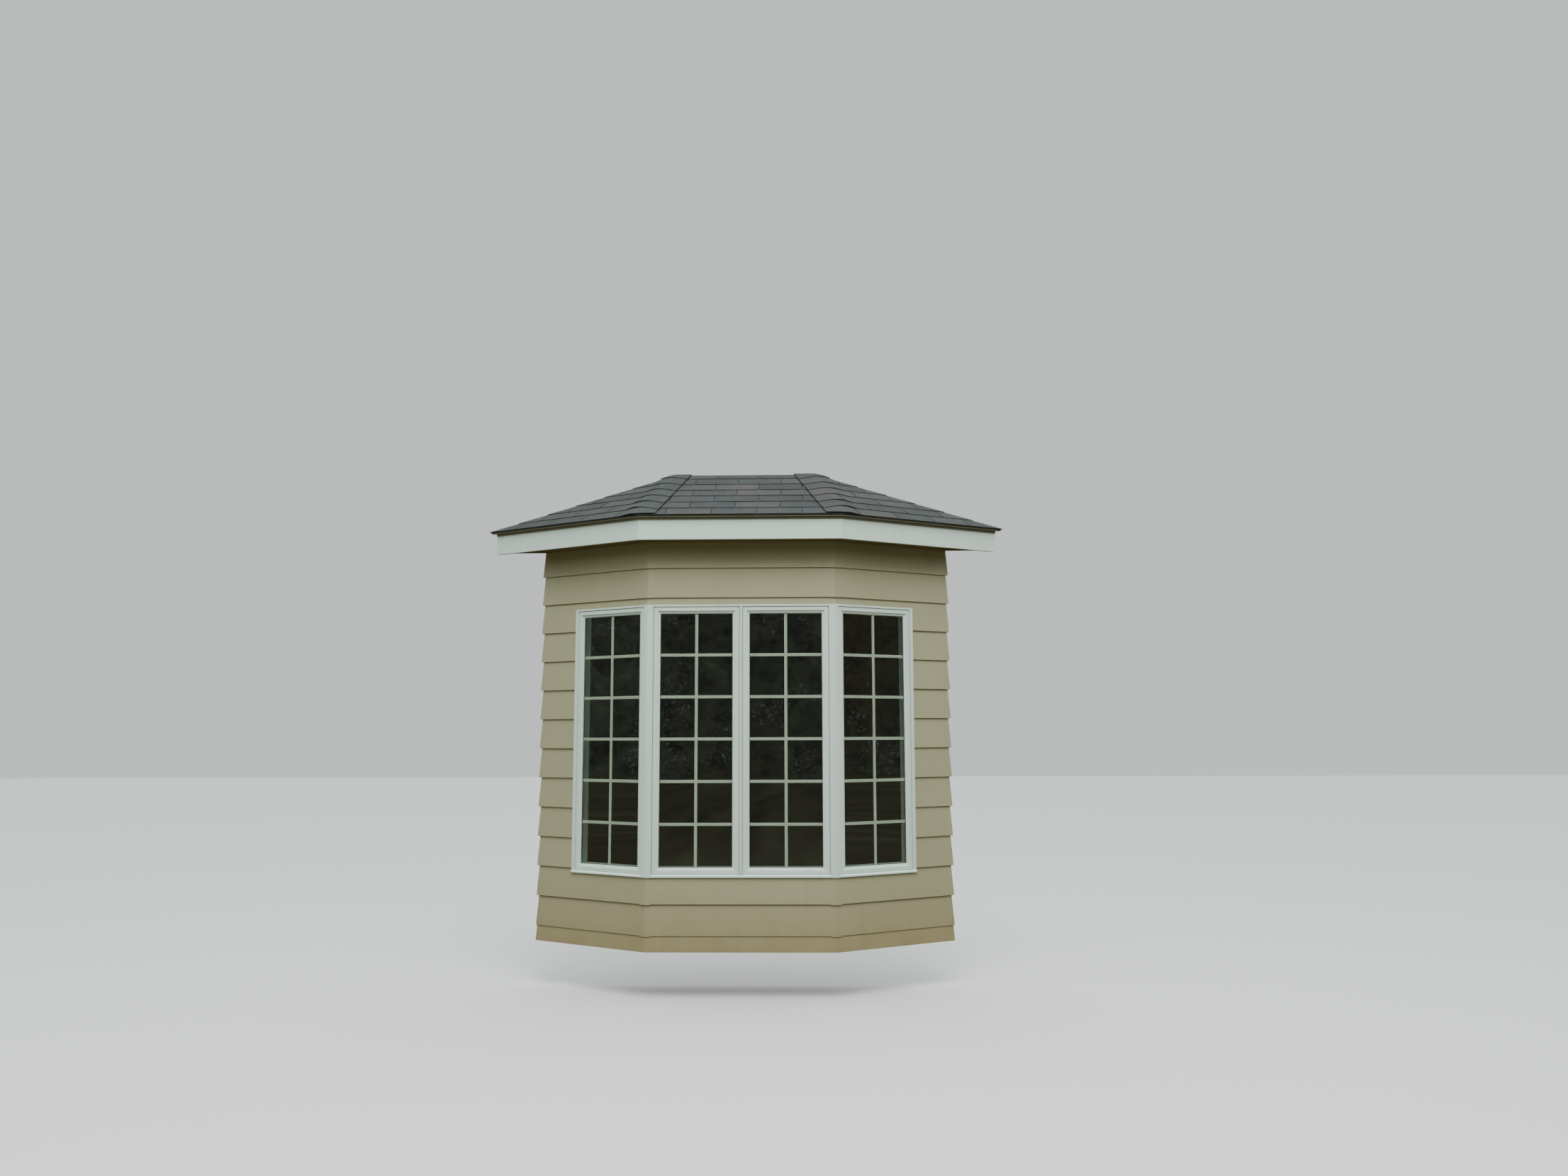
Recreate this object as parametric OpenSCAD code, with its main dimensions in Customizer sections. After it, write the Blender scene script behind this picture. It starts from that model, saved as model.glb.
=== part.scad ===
// Canted bay window with four casement units, cut off at the wall that carries it.
// +X is right seen from outdoors, +Y points into the house, +Z is up.
// The origin is the middle of the floor ledger's back face, which is bolted to the wall.
// An inset is a distance measured inwards from the face of the siding.

/* [Plan] */
// Angle between a side and the wall
side_angle = 30; // [25:0.5:36]
// Width of a corner cover on the front
cover_front_w = 40; // [24:0.5:90]
// Width of a corner cover on the side
cover_side_w = 28.8; // [22:0.1:90]

/* [Floor] */
// Height of the ledger and the rim boards
ledger_h = 235; // [184:1:286]
// Thickness of the framing boards
board_t = 38; // [32:1:45]
// Thickness of the floor deck
deck_floor_t = 19; // [15:1:25]
// Thickness of the panel under the floor
underside_t = 12; // [9:1:18]
// How far the siding hangs below the underside panel
siding_drop = 1; // [0:0.5:8]

/* [Walls] */
// Thickness of the siding at its thick edge
siding_t = 16; // [13:0.5:20]
// Thickness of the studs and sheathing together
core_t = 100; // [90:1:120]
// Thickness of the plasterboard
lining_t = 13; // [10:0.5:16]
// Height of the room, floor to ceiling
room_h = 2440; // [2380:1:2500]
// Height of the ceiling joists
joist_h = 89; // [70:1:110]

/* [Siding] */
// Height of one course that stays in view
course_h = 203.2; // [150:0.1:250]
// Height of the lowest course
first_course_h = 103.5; // [60:0.5:150]
// How far each course tips back towards its top
lap_step = 9; // [5:0.5:11]
// Width of a corner cap on each face
cap_w = 27; // [20:1:34]
// Thickness of a corner cap
cap_t = 1.5; // [1:0.1:2]

/* [Windows] */
// Height of the frame's underside over the siding's lower edge
sill_rise = 479; // [430:1:560]
// Height of the window frame
frame_h = 1812; // [1600:1:1860]
// Distance along a side from the wall to its frame
side_strip = 312.5; // [150:0.5:500]
// Visible width of the frame's jamb
jamb_face = 24; // [14:1:34]
// Visible height of the frame's sill
sill_face = 16; // [12:1:45]
// Visible height of the frame's head
head_face = 12; // [10:1:30]
// Inset of the frame's face
frame_inset = 4; // [2:0.5:8]
// Gap all round a sash
sash_gap = 3; // [2:0.5:4]
// Width of a sash
sash_w = 579; // [480:1:760]
// Thickness of a sash
sash_t = 40; // [34:1:46]
// Inset of the sash's face
sash_inset = 8; // [6:0.5:14]
// Width of the sash's stiles
stile_w = 44; // [38:1:56]
// Height of the sash's rails
rail_h = 44; // [34:1:56]
// Width of the glazing bead inside the stiles and rails
bead_w = 10; // [6:1:14]
// How far the bead lies behind the sash's face
bead_step = 6; // [3:0.5:8]
// Thickness of the sealed double glazing
glass_t = 18; // [14:1:20]
// Depth to which the glass sits in the sash
glass_bite = 8; // [5:1:10]
// Width of the stop that the sash closes against
stop_w = 10; // [6:1:12]
// Width of the cover between the two front sashes
mullion_face = 18; // [8:1:30]
// Thickness of the corner and mullion covers
cover_t = 6; // [4:0.5:8]

/* [Inside trim] */
// How far the inner window board stands out from the plasterboard
stool_out = 36; // [20:1:50]
// Thickness of the inner window board
stool_t = 19; // [15:1:25]
// Width of the boards round the windows
casing_w = 60; // [45:1:80]
// Thickness of those boards
casing_t = 14; // [10:1:18]

/* [Roof] */
// Height of the soffit over the ceiling of the room
soffit_lift = 14; // [5:1:40]
// Distance from the siding to the face of the fascia
overhang = 170; // [140:1:220]
// Visible height of the fascia
fascia_h = 140; // [120:1:160]
// Thickness of the fascia
fascia_t = 19; // [16:1:25]
// How far the fascia hangs below the soffit
fascia_drop = 10; // [5:1:15]
// Height of the drip strip over the fascia
drip_h = 29; // [20:1:36]
// Thickness of the soffit
soffit_t = 10; // [6:1:12]
// How far the shingles reach past the fascia
eave_lip = 33; // [20:1:45]
// Angle of all three roof slopes
roof_pitch = 31.4; // [28:0.1:34]
// Thickness of the shingles
shingle_t = 10; // [8:0.5:14]
// Thickness of the roof boarding
deck_t = 12; // [9:1:16]
// How far the boarding stops short of the shingles' edge
deck_back = 12; // [6:1:20]
// Gap between two panels of the boarding
panel_gap = 3; // [2:0.5:5]
// Height of the rafters
rafter_h = 140; // [130:1:150]
// Distance between rafters
rafter_pitch = 406.4; // [380:0.1:420]
// Height of the roof ledger
roof_ledger_h = 184; // [150:1:200]
// Depth of the seat cut where a rafter sits on the wall
seat_cut = 26; // [15:1:40]

/* [Hidden] */
$fn = 32;

// Longer than anything here, for cuts that have to run right through
reach = 6000;
// Where each sash stands on its side, and where the light that holds it ends
side_sash_u = side_strip + jamb_face + sash_gap;
front_sash_x = mullion_face / 2 + sash_gap;
side_light_u = side_sash_u + sash_w + sash_gap;
front_light_x = front_sash_x + sash_w + sash_gap;
// The windows set the plan: half the front, the length of a side, and what follows from them
front_half = front_light_x + cover_front_w;
side_len = side_light_u + cover_side_w;
bay_depth = side_len * sin(side_angle);
wall_half = front_half + side_len * cos(side_angle);

// Insets of the layers of the wall
core_in = siding_t;
lining_in = core_in + core_t;
room_in = lining_in + lining_t;

// Heights
siding_foot = -(ledger_h / 2 + underside_t + siding_drop);
floor_top = ledger_h / 2 + deck_floor_t;
ceiling_z = floor_top + room_h;
sill_z = siding_foot + sill_rise;
head_z = sill_z + frame_h;
soffit_z = ceiling_z + soffit_lift;
soffit_top = soffit_z + soffit_t;
fascia_foot = soffit_z - fascia_drop;
eave_z = fascia_foot + fascia_h + drip_h;

// Sash and glass, seen from the front
light_foot = sill_z + sill_face;
light_h = frame_h - sill_face - head_face;
sash_foot = light_foot + sash_gap;
sash_h = light_h - 2 * sash_gap;
view_w = sash_w - 2 * stile_w;
view_h = sash_h - 2 * rail_h;
glass_in = sash_inset + (sash_t - glass_t) / 2;

// Roof, with depths below the top of the shingles measured straight down
eave_out = overhang + eave_lip;
fascia_back = overhang - fascia_t;
deck_drop = shingle_t / cos(roof_pitch);
frame_drop = deck_drop + deck_t / cos(roof_pitch);
rafter_drop = frame_drop + rafter_h / cos(roof_pitch);
ledger_drop = frame_drop + roof_ledger_h;
plate_z = eave_z + (eave_out + core_in) * tan(roof_pitch) - rafter_drop + seat_cut;

trim_white = [0.80, 0.84, 0.81];
siding_tan = [0.62, 0.60, 0.49];
lumber = [0.78, 0.64, 0.44];
shingle_grey = [0.44, 0.45, 0.45];
plaster = [0.90, 0.89, 0.86];

// Corner of the front and the side, and end of the side at the wall, at an inset
function corner(inset) = [front_half - inset * tan(side_angle / 2), inset - bay_depth];
function wall_end(inset) = [wall_half - inset / sin(side_angle), 0];
function flip(p) = [-p[0], p[1]];

// Lower and upper edge of each course of siding
courses = ceil((soffit_z - siding_foot - first_course_h) / course_h - 0.01);
function course_foot(i) = i == 0 ? siding_foot : siding_foot + first_course_h + (i - 1) * course_h;
function course_head(i) = min(course_foot(i + 1), soffit_z);

// Plan of everything inside an inset
module whole_plan(inset) {
    polygon([flip(wall_end(inset)), flip(corner(inset)), corner(inset), wall_end(inset)]);
}

// Plan of the front between two insets, cut along the mitres
module front_plan(outer, inner) {
    polygon([flip(corner(outer)), corner(outer), corner(inner), flip(corner(inner))]);
}

// Plan of the left side between two insets
module left_plan(outer, inner) {
    polygon([flip(wall_end(outer)), flip(corner(outer)), flip(corner(inner)), flip(wall_end(inner))]);
}

module on_left() translate([-wall_half, 0]) rotate(-side_angle) children();
module on_front() translate([0, -bay_depth]) children();
module other_side() mirror([1, 0, 0]) children();
module both_sides() {
    children();
    other_side() children();
}

// The part of the left side's plan between two distances from the wall
module left_part(outer, inner, from, to) {
    intersection() {
        left_plan(outer, inner);
        on_left() translate([from, -reach / 2]) square([to - from, reach]);
    }
}

// All three sides between two insets, the sides from a distance from the wall onwards
module ring_plan(outer, inner, from) {
    front_plan(outer, inner);
    both_sides() left_part(outer, inner, from, reach);
}

module rise(foot, head) translate([0, 0, foot]) linear_extrude(head - foot) children();

// Floor

module floor_ledger() {
    color(lumber) rise(-ledger_h / 2, ledger_h / 2) intersection() {
        whole_plan(core_in + board_t);
        translate([-reach / 2, -board_t]) square([reach, board_t]);
    }
}

module floor_rim() rise(-ledger_h / 2, ledger_h / 2) left_plan(core_in, core_in + board_t);
module floor_rim_left() color(lumber) floor_rim();
module floor_rim_right() color(lumber) other_side() floor_rim();
module floor_rim_front() {
    color(lumber) rise(-ledger_h / 2, ledger_h / 2) front_plan(core_in, core_in + board_t);
}
module floor_deck() color(lumber) rise(ledger_h / 2, floor_top) whole_plan(core_in);
module underside_panel() {
    color(lumber) rise(-ledger_h / 2 - underside_t, -ledger_h / 2) whole_plan(core_in);
}

// Walls below, beside and over the windows

module knee_wall_front() color(lumber) rise(floor_top, sill_z) front_plan(core_in, lining_in);
module knee_wall() rise(floor_top, sill_z) left_plan(core_in, lining_in);
module knee_wall_left() color(lumber) knee_wall();
module knee_wall_right() color(lumber) other_side() knee_wall();

module head_wall_front() color(lumber) rise(head_z, plate_z) front_plan(core_in, lining_in);
module head_wall() rise(head_z, plate_z) left_plan(core_in, lining_in);
module head_wall_left() color(lumber) head_wall();
module head_wall_right() color(lumber) other_side() head_wall();

module wall_post() rise(sill_z, head_z) left_part(core_in, lining_in, -reach, side_strip);
module wall_post_left() color(lumber) wall_post();
module wall_post_right() color(lumber) other_side() wall_post();

// Siding: every course tips back to its top, and its lower edge stands out over the one below

module lap_section(outer, inner) {
    for (i = [0:courses])
        polygon([[inner, course_foot(i)], [outer, course_foot(i)],
                 [outer + lap_step, course_head(i)], [inner, course_head(i)]]);
}

// The section stands up, with its depth along Y and its length along X
module laps() {
    translate([-reach / 2, 0, 0]) rotate([90, 0, 90]) linear_extrude(reach) lap_section(0, core_in);
}

module siding_front() {
    color(siding_tan) intersection() {
        on_front() laps();
        union() {
            rise(siding_foot, sill_z) front_plan(0, core_in);
            rise(head_z, soffit_z) front_plan(0, core_in);
        }
    }
}

module siding_side() {
    intersection() {
        on_left() laps();
        union() {
            rise(siding_foot, sill_z) left_plan(0, core_in);
            rise(sill_z, head_z) left_part(0, core_in, -reach, side_strip);
            rise(head_z, soffit_z) left_plan(0, core_in);
        }
    }
}
module siding_left() color(siding_tan) siding_side();
module siding_right() color(siding_tan) other_side() siding_side();

// Folded caps that cover the siding's ends at the front corners, one on each course.
// A block is everything behind one course's face, moved outwards and made taller.
module course_block(i, out, taller) {
    foot = course_foot(i) < head_z && course_head(i) > head_z ? head_z : course_foot(i);
    head = course_foot(i) < sill_z ? min(course_head(i), sill_z) : course_head(i);
    tip = lap_step / (course_head(i) - course_foot(i));
    low = (foot - taller - course_foot(i)) * tip - out;
    high = (head + taller - course_foot(i)) * tip - out;
    translate([-reach / 2, 0, 0]) rotate([90, 0, 90]) linear_extrude(reach)
        polygon([[low, foot - taller], [reach, foot - taller], [reach, head + taller], [high, head + taller]]);
}

module corner_block(i, out, taller) {
    intersection() {
        on_front() course_block(i, out, taller);
        on_left() course_block(i, out, taller);
    }
}

module corner_cap(i) {
    difference() {
        intersection() {
            corner_block(i, cap_t, 0);
            rise(siding_foot - 1, soffit_z + 1) intersection() {
                translate([-front_half + cap_w - reach, -reach / 2]) square([reach, reach]);
                on_left() translate([side_len - cap_w, -reach / 2]) square([reach, reach]);
            }
        }
        corner_block(i, 0, 1);
    }
}

module corner_caps() {
    color(siding_tan) both_sides() for (i = [0:courses])
        if (course_foot(i) < sill_z || course_head(i) > head_z) corner_cap(i);
}

// Windows

// A frame in the X and Z directions: outer width and height, widths of its stiles and rails, depth
module hoop(w, h, stile, rail, depth) {
    difference() {
        cube([w, depth, h]);
        translate([stile, -1, rail]) cube([w - 2 * stile, depth + 2, h - 2 * rail]);
    }
}

// The hole for one sash: open in front, with a stop behind
module light_cut() {
    translate([-sash_gap, -1, -sash_gap])
        cube([sash_w + 2 * sash_gap, sash_inset + sash_t + 1, light_h]);
    translate([stop_w, -1, stop_w]) cube([sash_w - 2 * stop_w, reach, sash_h - 2 * stop_w]);
}

module window_frame_side() {
    difference() {
        rise(sill_z, head_z) left_part(frame_inset, room_in, side_strip, reach);
        on_left() translate([side_sash_u, 0, sash_foot]) light_cut();
    }
}
module window_frame_left() color(trim_white) window_frame_side();
module window_frame_right() color(trim_white) other_side() window_frame_side();

module window_frame_front() {
    color(trim_white) difference() {
        rise(sill_z, head_z) front_plan(frame_inset, room_in);
        both_sides() on_front() translate([front_sash_x, 0, sash_foot]) light_cut();
    }
}

module centre_mullion() {
    color(trim_white) on_front() translate([-mullion_face / 2, frame_inset - cover_t, sill_z])
        cube([mullion_face, cover_t, frame_h]);
}

// Flat cover over the mitre between the front and a side window
module corner_cover() {
    rise(sill_z, head_z) {
        intersection() {
            front_plan(frame_inset - cover_t, frame_inset);
            translate([-reach / 2 - front_light_x, -reach / 2]) square([reach / 2, reach]);
        }
        left_part(frame_inset - cover_t, frame_inset, side_light_u, reach);
    }
}
module corner_cover_left() color(trim_white) corner_cover();
module corner_cover_right() color(trim_white) other_side() corner_cover();

// One sash: a hoop with a lower glazing bead and a pocket that holds the glass
module sash() {
    difference() {
        translate([0, sash_inset, 0]) hoop(sash_w, sash_h, stile_w, rail_h, sash_t);
        translate([stile_w - bead_w, sash_inset - 1, rail_h - bead_w])
            cube([view_w + 2 * bead_w, bead_step + 1, view_h + 2 * bead_w]);
        pane();
    }
}

module pane() {
    translate([stile_w - glass_bite, glass_in, rail_h - glass_bite])
        cube([view_w + 2 * glass_bite, glass_t, view_h + 2 * glass_bite]);
}

module at_side_light() on_left() translate([side_sash_u, 0, sash_foot]) children();
module at_front_light() on_front() translate([front_sash_x, 0, sash_foot]) children();

module sash_left() color(trim_white) at_side_light() sash();
module sash_right() color(trim_white) other_side() at_side_light() sash();
module sash_front_right() color(trim_white) at_front_light() sash();
module sash_front_left() color(trim_white) other_side() at_front_light() sash();
module glass_left() color("darkslategray", 0.5) at_side_light() pane();
module glass_right() color("darkslategray", 0.5) other_side() at_side_light() pane();
module glass_front_right() color("darkslategray", 0.5) at_front_light() pane();
module glass_front_left() color("darkslategray", 0.5) other_side() at_front_light() pane();

// Inside

module wall_lining() {
    color(plaster) {
        rise(floor_top, sill_z) ring_plan(lining_in, room_in, -reach);
        rise(sill_z, head_z) both_sides() left_part(lining_in, room_in, -reach, side_strip);
        rise(head_z, ceiling_z) ring_plan(lining_in, room_in, -reach);
    }
}

module window_stool() {
    stool_z = light_foot - stool_t;
    color(trim_white) {
        rise(stool_z, light_foot) ring_plan(room_in, room_in + stool_out, side_strip - casing_w);
        rise(stool_z - casing_w, stool_z)
            ring_plan(room_in, room_in + casing_t, side_strip - casing_w);
    }
}

module window_casing() {
    casing_z = head_z - head_face;
    color(trim_white) {
        rise(casing_z, casing_z + casing_w)
            ring_plan(room_in, room_in + casing_t, side_strip + jamb_face - casing_w);
        rise(light_foot, casing_z) both_sides()
            left_part(room_in, room_in + casing_t, side_strip + jamb_face - casing_w,
                      side_strip + jamb_face);
    }
}

module ceiling() color(plaster) rise(ceiling_z, ceiling_z + lining_t) whole_plan(lining_in);

module ceiling_joists() {
    color(lumber) rise(ceiling_z + lining_t, ceiling_z + lining_t + joist_h) intersection() {
        whole_plan(lining_in);
        for (i = [-2:2])
            translate([i * rafter_pitch - board_t / 2, -reach / 2]) square([board_t, reach / 2]);
    }
}

// Roof

// Everything below a slope whose top edge line lies along X
module below_slope() {
    rotate([roof_pitch, 0, 0]) translate([-reach, -reach, -reach]) cube([2 * reach, 2 * reach, reach]);
}
module below_front(drop) {
    translate([0, -bay_depth - eave_out, eave_z - drop]) below_slope();
}
module below_left(drop) {
    translate([-wall_end(-eave_out)[0], 0, eave_z - drop]) rotate([0, 0, -side_angle]) below_slope();
}
module below_roof(drop) {
    intersection() {
        below_front(drop);
        below_left(drop);
        other_side() below_left(drop);
    }
}

// Where a hip reaches the wall
hip_end = [wall_end(-eave_out)[0] - (bay_depth + eave_out) / sin(side_angle), 0];

module front_slope_plan(out) {
    polygon([flip(corner(-out)), corner(-out), hip_end, flip(hip_end)]);
}
module left_slope_plan(out) {
    polygon([flip(wall_end(-out)), flip(corner(-out)), flip(hip_end)]);
}

// A strip along the left hip
module hip_plan(w) {
    run = hip_end - corner(-eave_out);
    translate(flip(hip_end)) rotate(atan2(run[1], -run[0]) + 180)
        translate([-norm(run), -w / 2]) square([2 * norm(run), w]);
}

module front_layer(top, foot, out) {
    intersection() {
        rise(soffit_z, reach) front_slope_plan(out);
        difference() {
            below_front(top);
            below_front(foot);
        }
    }
}
module left_layer(top, foot, out) {
    intersection() {
        rise(soffit_z, reach) left_slope_plan(out);
        difference() {
            below_left(top);
            below_left(foot);
        }
    }
}

module shingles_front() color(shingle_grey) front_layer(0, deck_drop, eave_out);
module shingles_left() color(shingle_grey) left_layer(0, deck_drop, eave_out);
module shingles_right() color(shingle_grey) other_side() left_layer(0, deck_drop, eave_out);

module roof_deck() {
    color(lumber) difference() {
        union() {
            front_layer(deck_drop, frame_drop, eave_out - deck_back);
            both_sides() left_layer(deck_drop, frame_drop, eave_out - deck_back);
        }
        both_sides() rise(0, reach) hip_plan(panel_gap);
    }
}

// Walls and soffit, which the rafters are cut to sit on
module seats() {
    head_wall_front();
    both_sides() head_wall();
    rise(0, soffit_top) whole_plan(-eave_out);
}

// Boards under the roof boarding, in the plan of the children, down to a depth and short of the wall
module roof_timber(foot_drop, back) {
    difference() {
        intersection() {
            rise(soffit_z, reach) intersection() {
                whole_plan(-fascia_back);
                translate([-reach / 2, -reach]) square([reach, reach - back]);
                children();
            }
            below_roof(frame_drop);
        }
        below_roof(foot_drop);
        seats();
    }
}

module rafters() {
    color(lumber) {
        roof_timber(rafter_drop, board_t) for (i = [-1:1])
            translate([i * rafter_pitch - board_t / 2, -reach / 2]) square([board_t, reach]);
        both_sides() roof_timber(rafter_drop, board_t) on_left() for (i = [1:2])
            translate([side_len - i * rafter_pitch + board_t, -reach / 2]) square([board_t, reach]);
    }
}

module hip_rafters() color(lumber) both_sides() roof_timber(rafter_drop, board_t) hip_plan(board_t);

module roof_ledger() {
    color(lumber) {
        roof_timber(ledger_drop, 0) translate([-hip_end[0], -board_t])
            square([2 * hip_end[0], board_t]);
        both_sides() roof_timber(ledger_drop, 0)
            translate([-reach / 2, -board_t]) square([reach / 2 - hip_end[0] - panel_gap, board_t]);
    }
}

module soffit() {
    color(siding_tan) rise(soffit_z, soffit_top) difference() {
        ring_plan(-fascia_back, core_in, -reach);
        both_sides() hip_plan(panel_gap);
    }
}

module fascia_front() {
    color(trim_white) intersection() {
        rise(fascia_foot, reach) front_plan(-overhang, -fascia_back);
        below_roof(frame_drop);
    }
}
module fascia_side() {
    intersection() {
        rise(fascia_foot, reach) left_plan(-overhang, -fascia_back);
        below_roof(frame_drop);
    }
}
module fascia_left() color(trim_white) fascia_side();
module fascia_right() color(trim_white) other_side() fascia_side();

floor_ledger();
floor_rim_front();
floor_rim_left();
floor_rim_right();
floor_deck();
underside_panel();
knee_wall_front();
knee_wall_left();
knee_wall_right();
head_wall_front();
head_wall_left();
head_wall_right();
wall_post_left();
wall_post_right();
siding_front();
siding_left();
siding_right();
corner_caps();
window_frame_front();
window_frame_left();
window_frame_right();
centre_mullion();
corner_cover_left();
corner_cover_right();
sash_left();
sash_front_left();
sash_front_right();
sash_right();
glass_left();
glass_front_left();
glass_front_right();
glass_right();
wall_lining();
window_stool();
window_casing();
ceiling();
ceiling_joists();
roof_ledger();
rafters();
hip_rafters();
roof_deck();
soffit();
fascia_front();
fascia_left();
fascia_right();
shingles_front();
shingles_left();
shingles_right();
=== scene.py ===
# %% [markdown]
# # A canted bay window
# A bay window stands out from the wall on a cantilevered floor. This one has a front and two
# slanted sides, four tall casements, lapped siding and a little hipped roof of asphalt shingles.
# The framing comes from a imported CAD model, which stays fixed. Everything that the eye meets first,
# the boards, the sashes, the glass and the shingles, is built over it here.

# %% Load the frame
import math
import random

import bpy
from mathutils import Matrix, Vector, noise


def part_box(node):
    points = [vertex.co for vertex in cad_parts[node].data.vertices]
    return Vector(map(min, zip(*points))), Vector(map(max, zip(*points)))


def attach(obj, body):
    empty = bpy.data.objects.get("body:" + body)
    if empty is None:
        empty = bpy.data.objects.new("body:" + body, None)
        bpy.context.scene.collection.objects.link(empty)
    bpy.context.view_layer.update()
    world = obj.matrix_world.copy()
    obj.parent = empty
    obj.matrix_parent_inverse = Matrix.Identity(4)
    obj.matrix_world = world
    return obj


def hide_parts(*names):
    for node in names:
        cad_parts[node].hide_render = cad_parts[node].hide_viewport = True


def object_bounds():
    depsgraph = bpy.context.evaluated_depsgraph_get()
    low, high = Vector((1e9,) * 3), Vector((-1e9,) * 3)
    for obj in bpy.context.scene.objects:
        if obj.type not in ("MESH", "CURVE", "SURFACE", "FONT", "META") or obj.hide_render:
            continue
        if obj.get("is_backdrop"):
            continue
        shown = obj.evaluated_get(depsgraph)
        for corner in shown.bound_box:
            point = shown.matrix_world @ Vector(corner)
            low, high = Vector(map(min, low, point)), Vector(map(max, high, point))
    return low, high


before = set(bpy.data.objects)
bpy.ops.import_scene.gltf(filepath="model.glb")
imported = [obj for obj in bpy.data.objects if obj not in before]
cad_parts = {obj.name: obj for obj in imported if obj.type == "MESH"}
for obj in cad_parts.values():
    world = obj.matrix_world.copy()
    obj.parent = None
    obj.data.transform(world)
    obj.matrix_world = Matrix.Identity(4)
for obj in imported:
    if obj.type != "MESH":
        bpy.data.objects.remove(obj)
cad_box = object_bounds()
print("The frame holds", len(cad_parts), "parts.")

# %% [markdown]
# ## Measure the bay
# Every size that the looks depend on is read from the CAD parts, so the dressing follows the frame.
# The bay's plan needs only three numbers: half the front, half the width at the wall, and the depth.
# An *inset* is how far a layer lies behind the face of the siding, so a negative inset stands proud.

# %% Read the plan and the heights
MM = 0.001
siding_low, siding_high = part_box("siding_front")
front_half = siding_high.x
bay_depth = -siding_low.y
wall_half = -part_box("siding_left")[0].x
cant = math.atan2(bay_depth, wall_half - front_half)
side_len = math.hypot(bay_depth, wall_half - front_half)
mitre = math.tan(cant / 2)

foot_z, soffit_z = siding_low.z, siding_high.z
frame_low, frame_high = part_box("window_frame_front")
sill_z, head_z = frame_low.z, frame_high.z
sash_low, sash_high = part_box("sash_front_right")
pane_low, pane_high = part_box("glass_front_right")
print(f"front {2 * front_half:.3f} m, at the wall {2 * wall_half:.3f} m, depth {bay_depth:.3f} m")

# %% [markdown]
# ## Camera
# The camera stands where the photograph was taken: eight and a half metres out, a little to the
# right, at standing height, looking slightly up. It was worked out from the siding's level lines,
# which are a ruler on the wall. Three turns are applied in order: roll, pitch and yaw.

# %% Place the camera
CAMERA_AT = Vector((0.4756, -8.5027, foot_z + 1.4218))
YAW, PITCH, ROLL = -1.312, 6.951, -0.160
LENS_MM, SENSOR_MM = 27.41, 36.0

camera = bpy.data.objects.new("camera", bpy.data.cameras.new("camera"))
camera.data.lens = LENS_MM
camera.data.sensor_width = SENSOR_MM
camera.matrix_world = (
    Matrix.Translation(CAMERA_AT)
    @ Matrix.Rotation(math.radians(-YAW), 4, "Z")
    @ Matrix.Rotation(math.radians(90 + PITCH), 4, "X")
    @ Matrix.Rotation(math.radians(ROLL), 4, "Z")
)
bpy.context.scene.collection.objects.link(camera)
bpy.context.scene.camera = camera
print("camera looks along", [round(x, 3) for x in camera.matrix_world.to_3x3() @ Vector((0, 0, -1))])

# %% [markdown]
# ## Small helpers for mesh pieces
# Most of the pieces are long sticks with a shaped section: boards, rails, trims. So one helper turns
# closed solids into a piece, one rounds the corners of a section, and one runs a section along a
# side of the bay and cuts its ends on the mitre. Each side has its own directions: u along it, the
# inset into it, and z up. A bevel modifier could round the edges too, but a rounded section costs
# fewer faces and keeps every edge where it is wanted.

# %% The three sides of the bay
LEFT = Matrix.Translation((-wall_half, 0, 0)) @ Matrix.Rotation(-cant, 4, "Z")
PLACE = {
    "front": Matrix.Translation((0, -bay_depth, 0)),
    "left": LEFT,
    "right": Matrix.Diagonal((-1, 1, 1, 1)) @ LEFT,
}


def side_ends(side, inset):
    """Where a layer of a side starts and ends, cut by the wall and by the mitres."""
    if side == "front":
        return inset * mitre - front_half, front_half - inset * mitre
    return inset / math.tan(cant), side_len - inset * mitre


print("Sides of the bay:", list(PLACE))


# %% Make a piece from closed solids
def turned(faces):
    return [tuple(reversed(f)) for f in faces]


class Shape:
    """Collects closed solids for one mesh. Each face has a tone from 0 to 1."""

    def __init__(self, *solids):
        self.points, self.faces, self.tone = [], [], []
        for solid in solids:
            self.add(*solid)

    def add(self, points, faces, tone=0.5):
        base = len(self.points)
        self.points += list(points)
        self.faces += [tuple(base + i for i in f) for f in faces]
        self.tone += [tone] * len(faces)

    def piece(self, name, slot, finish, side=None, stands_for=()):
        """A mesh piece that rides on the bay. Its points are a side's own, or the world's."""
        points, faces = self.points, self.faces
        if side:
            points = [PLACE[side] @ Vector(p) for p in points]
            faces = turned(faces) if PLACE[side].determinant() < 0 else faces
        mesh = bpy.data.meshes.new(name)
        mesh.from_pydata([tuple(p) for p in points], [], faces)
        mesh.attributes.new("tone", "FLOAT", "FACE").data.foreach_set("value", self.tone)
        mesh.materials.append(finish)
        mesh.validate()
        mesh.update()
        piece = bpy.data.objects.new(name, mesh)
        bpy.context.scene.collection.objects.link(piece)
        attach(piece, "root")
        if stands_for:
            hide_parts(*stands_for)
        return piece


# %% Round a section
EDGE_SHARE = 0.45  # the most of an edge that the arc at one of its ends may use


def arc(a, corner, b, steps):
    """Points of a small curve from a to b, drawn towards the corner."""
    shares = [k / steps for k in range(steps + 1)]
    return [(1 - t) ** 2 * a + 2 * t * (1 - t) * corner + t ** 2 * b for t in shares]


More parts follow.
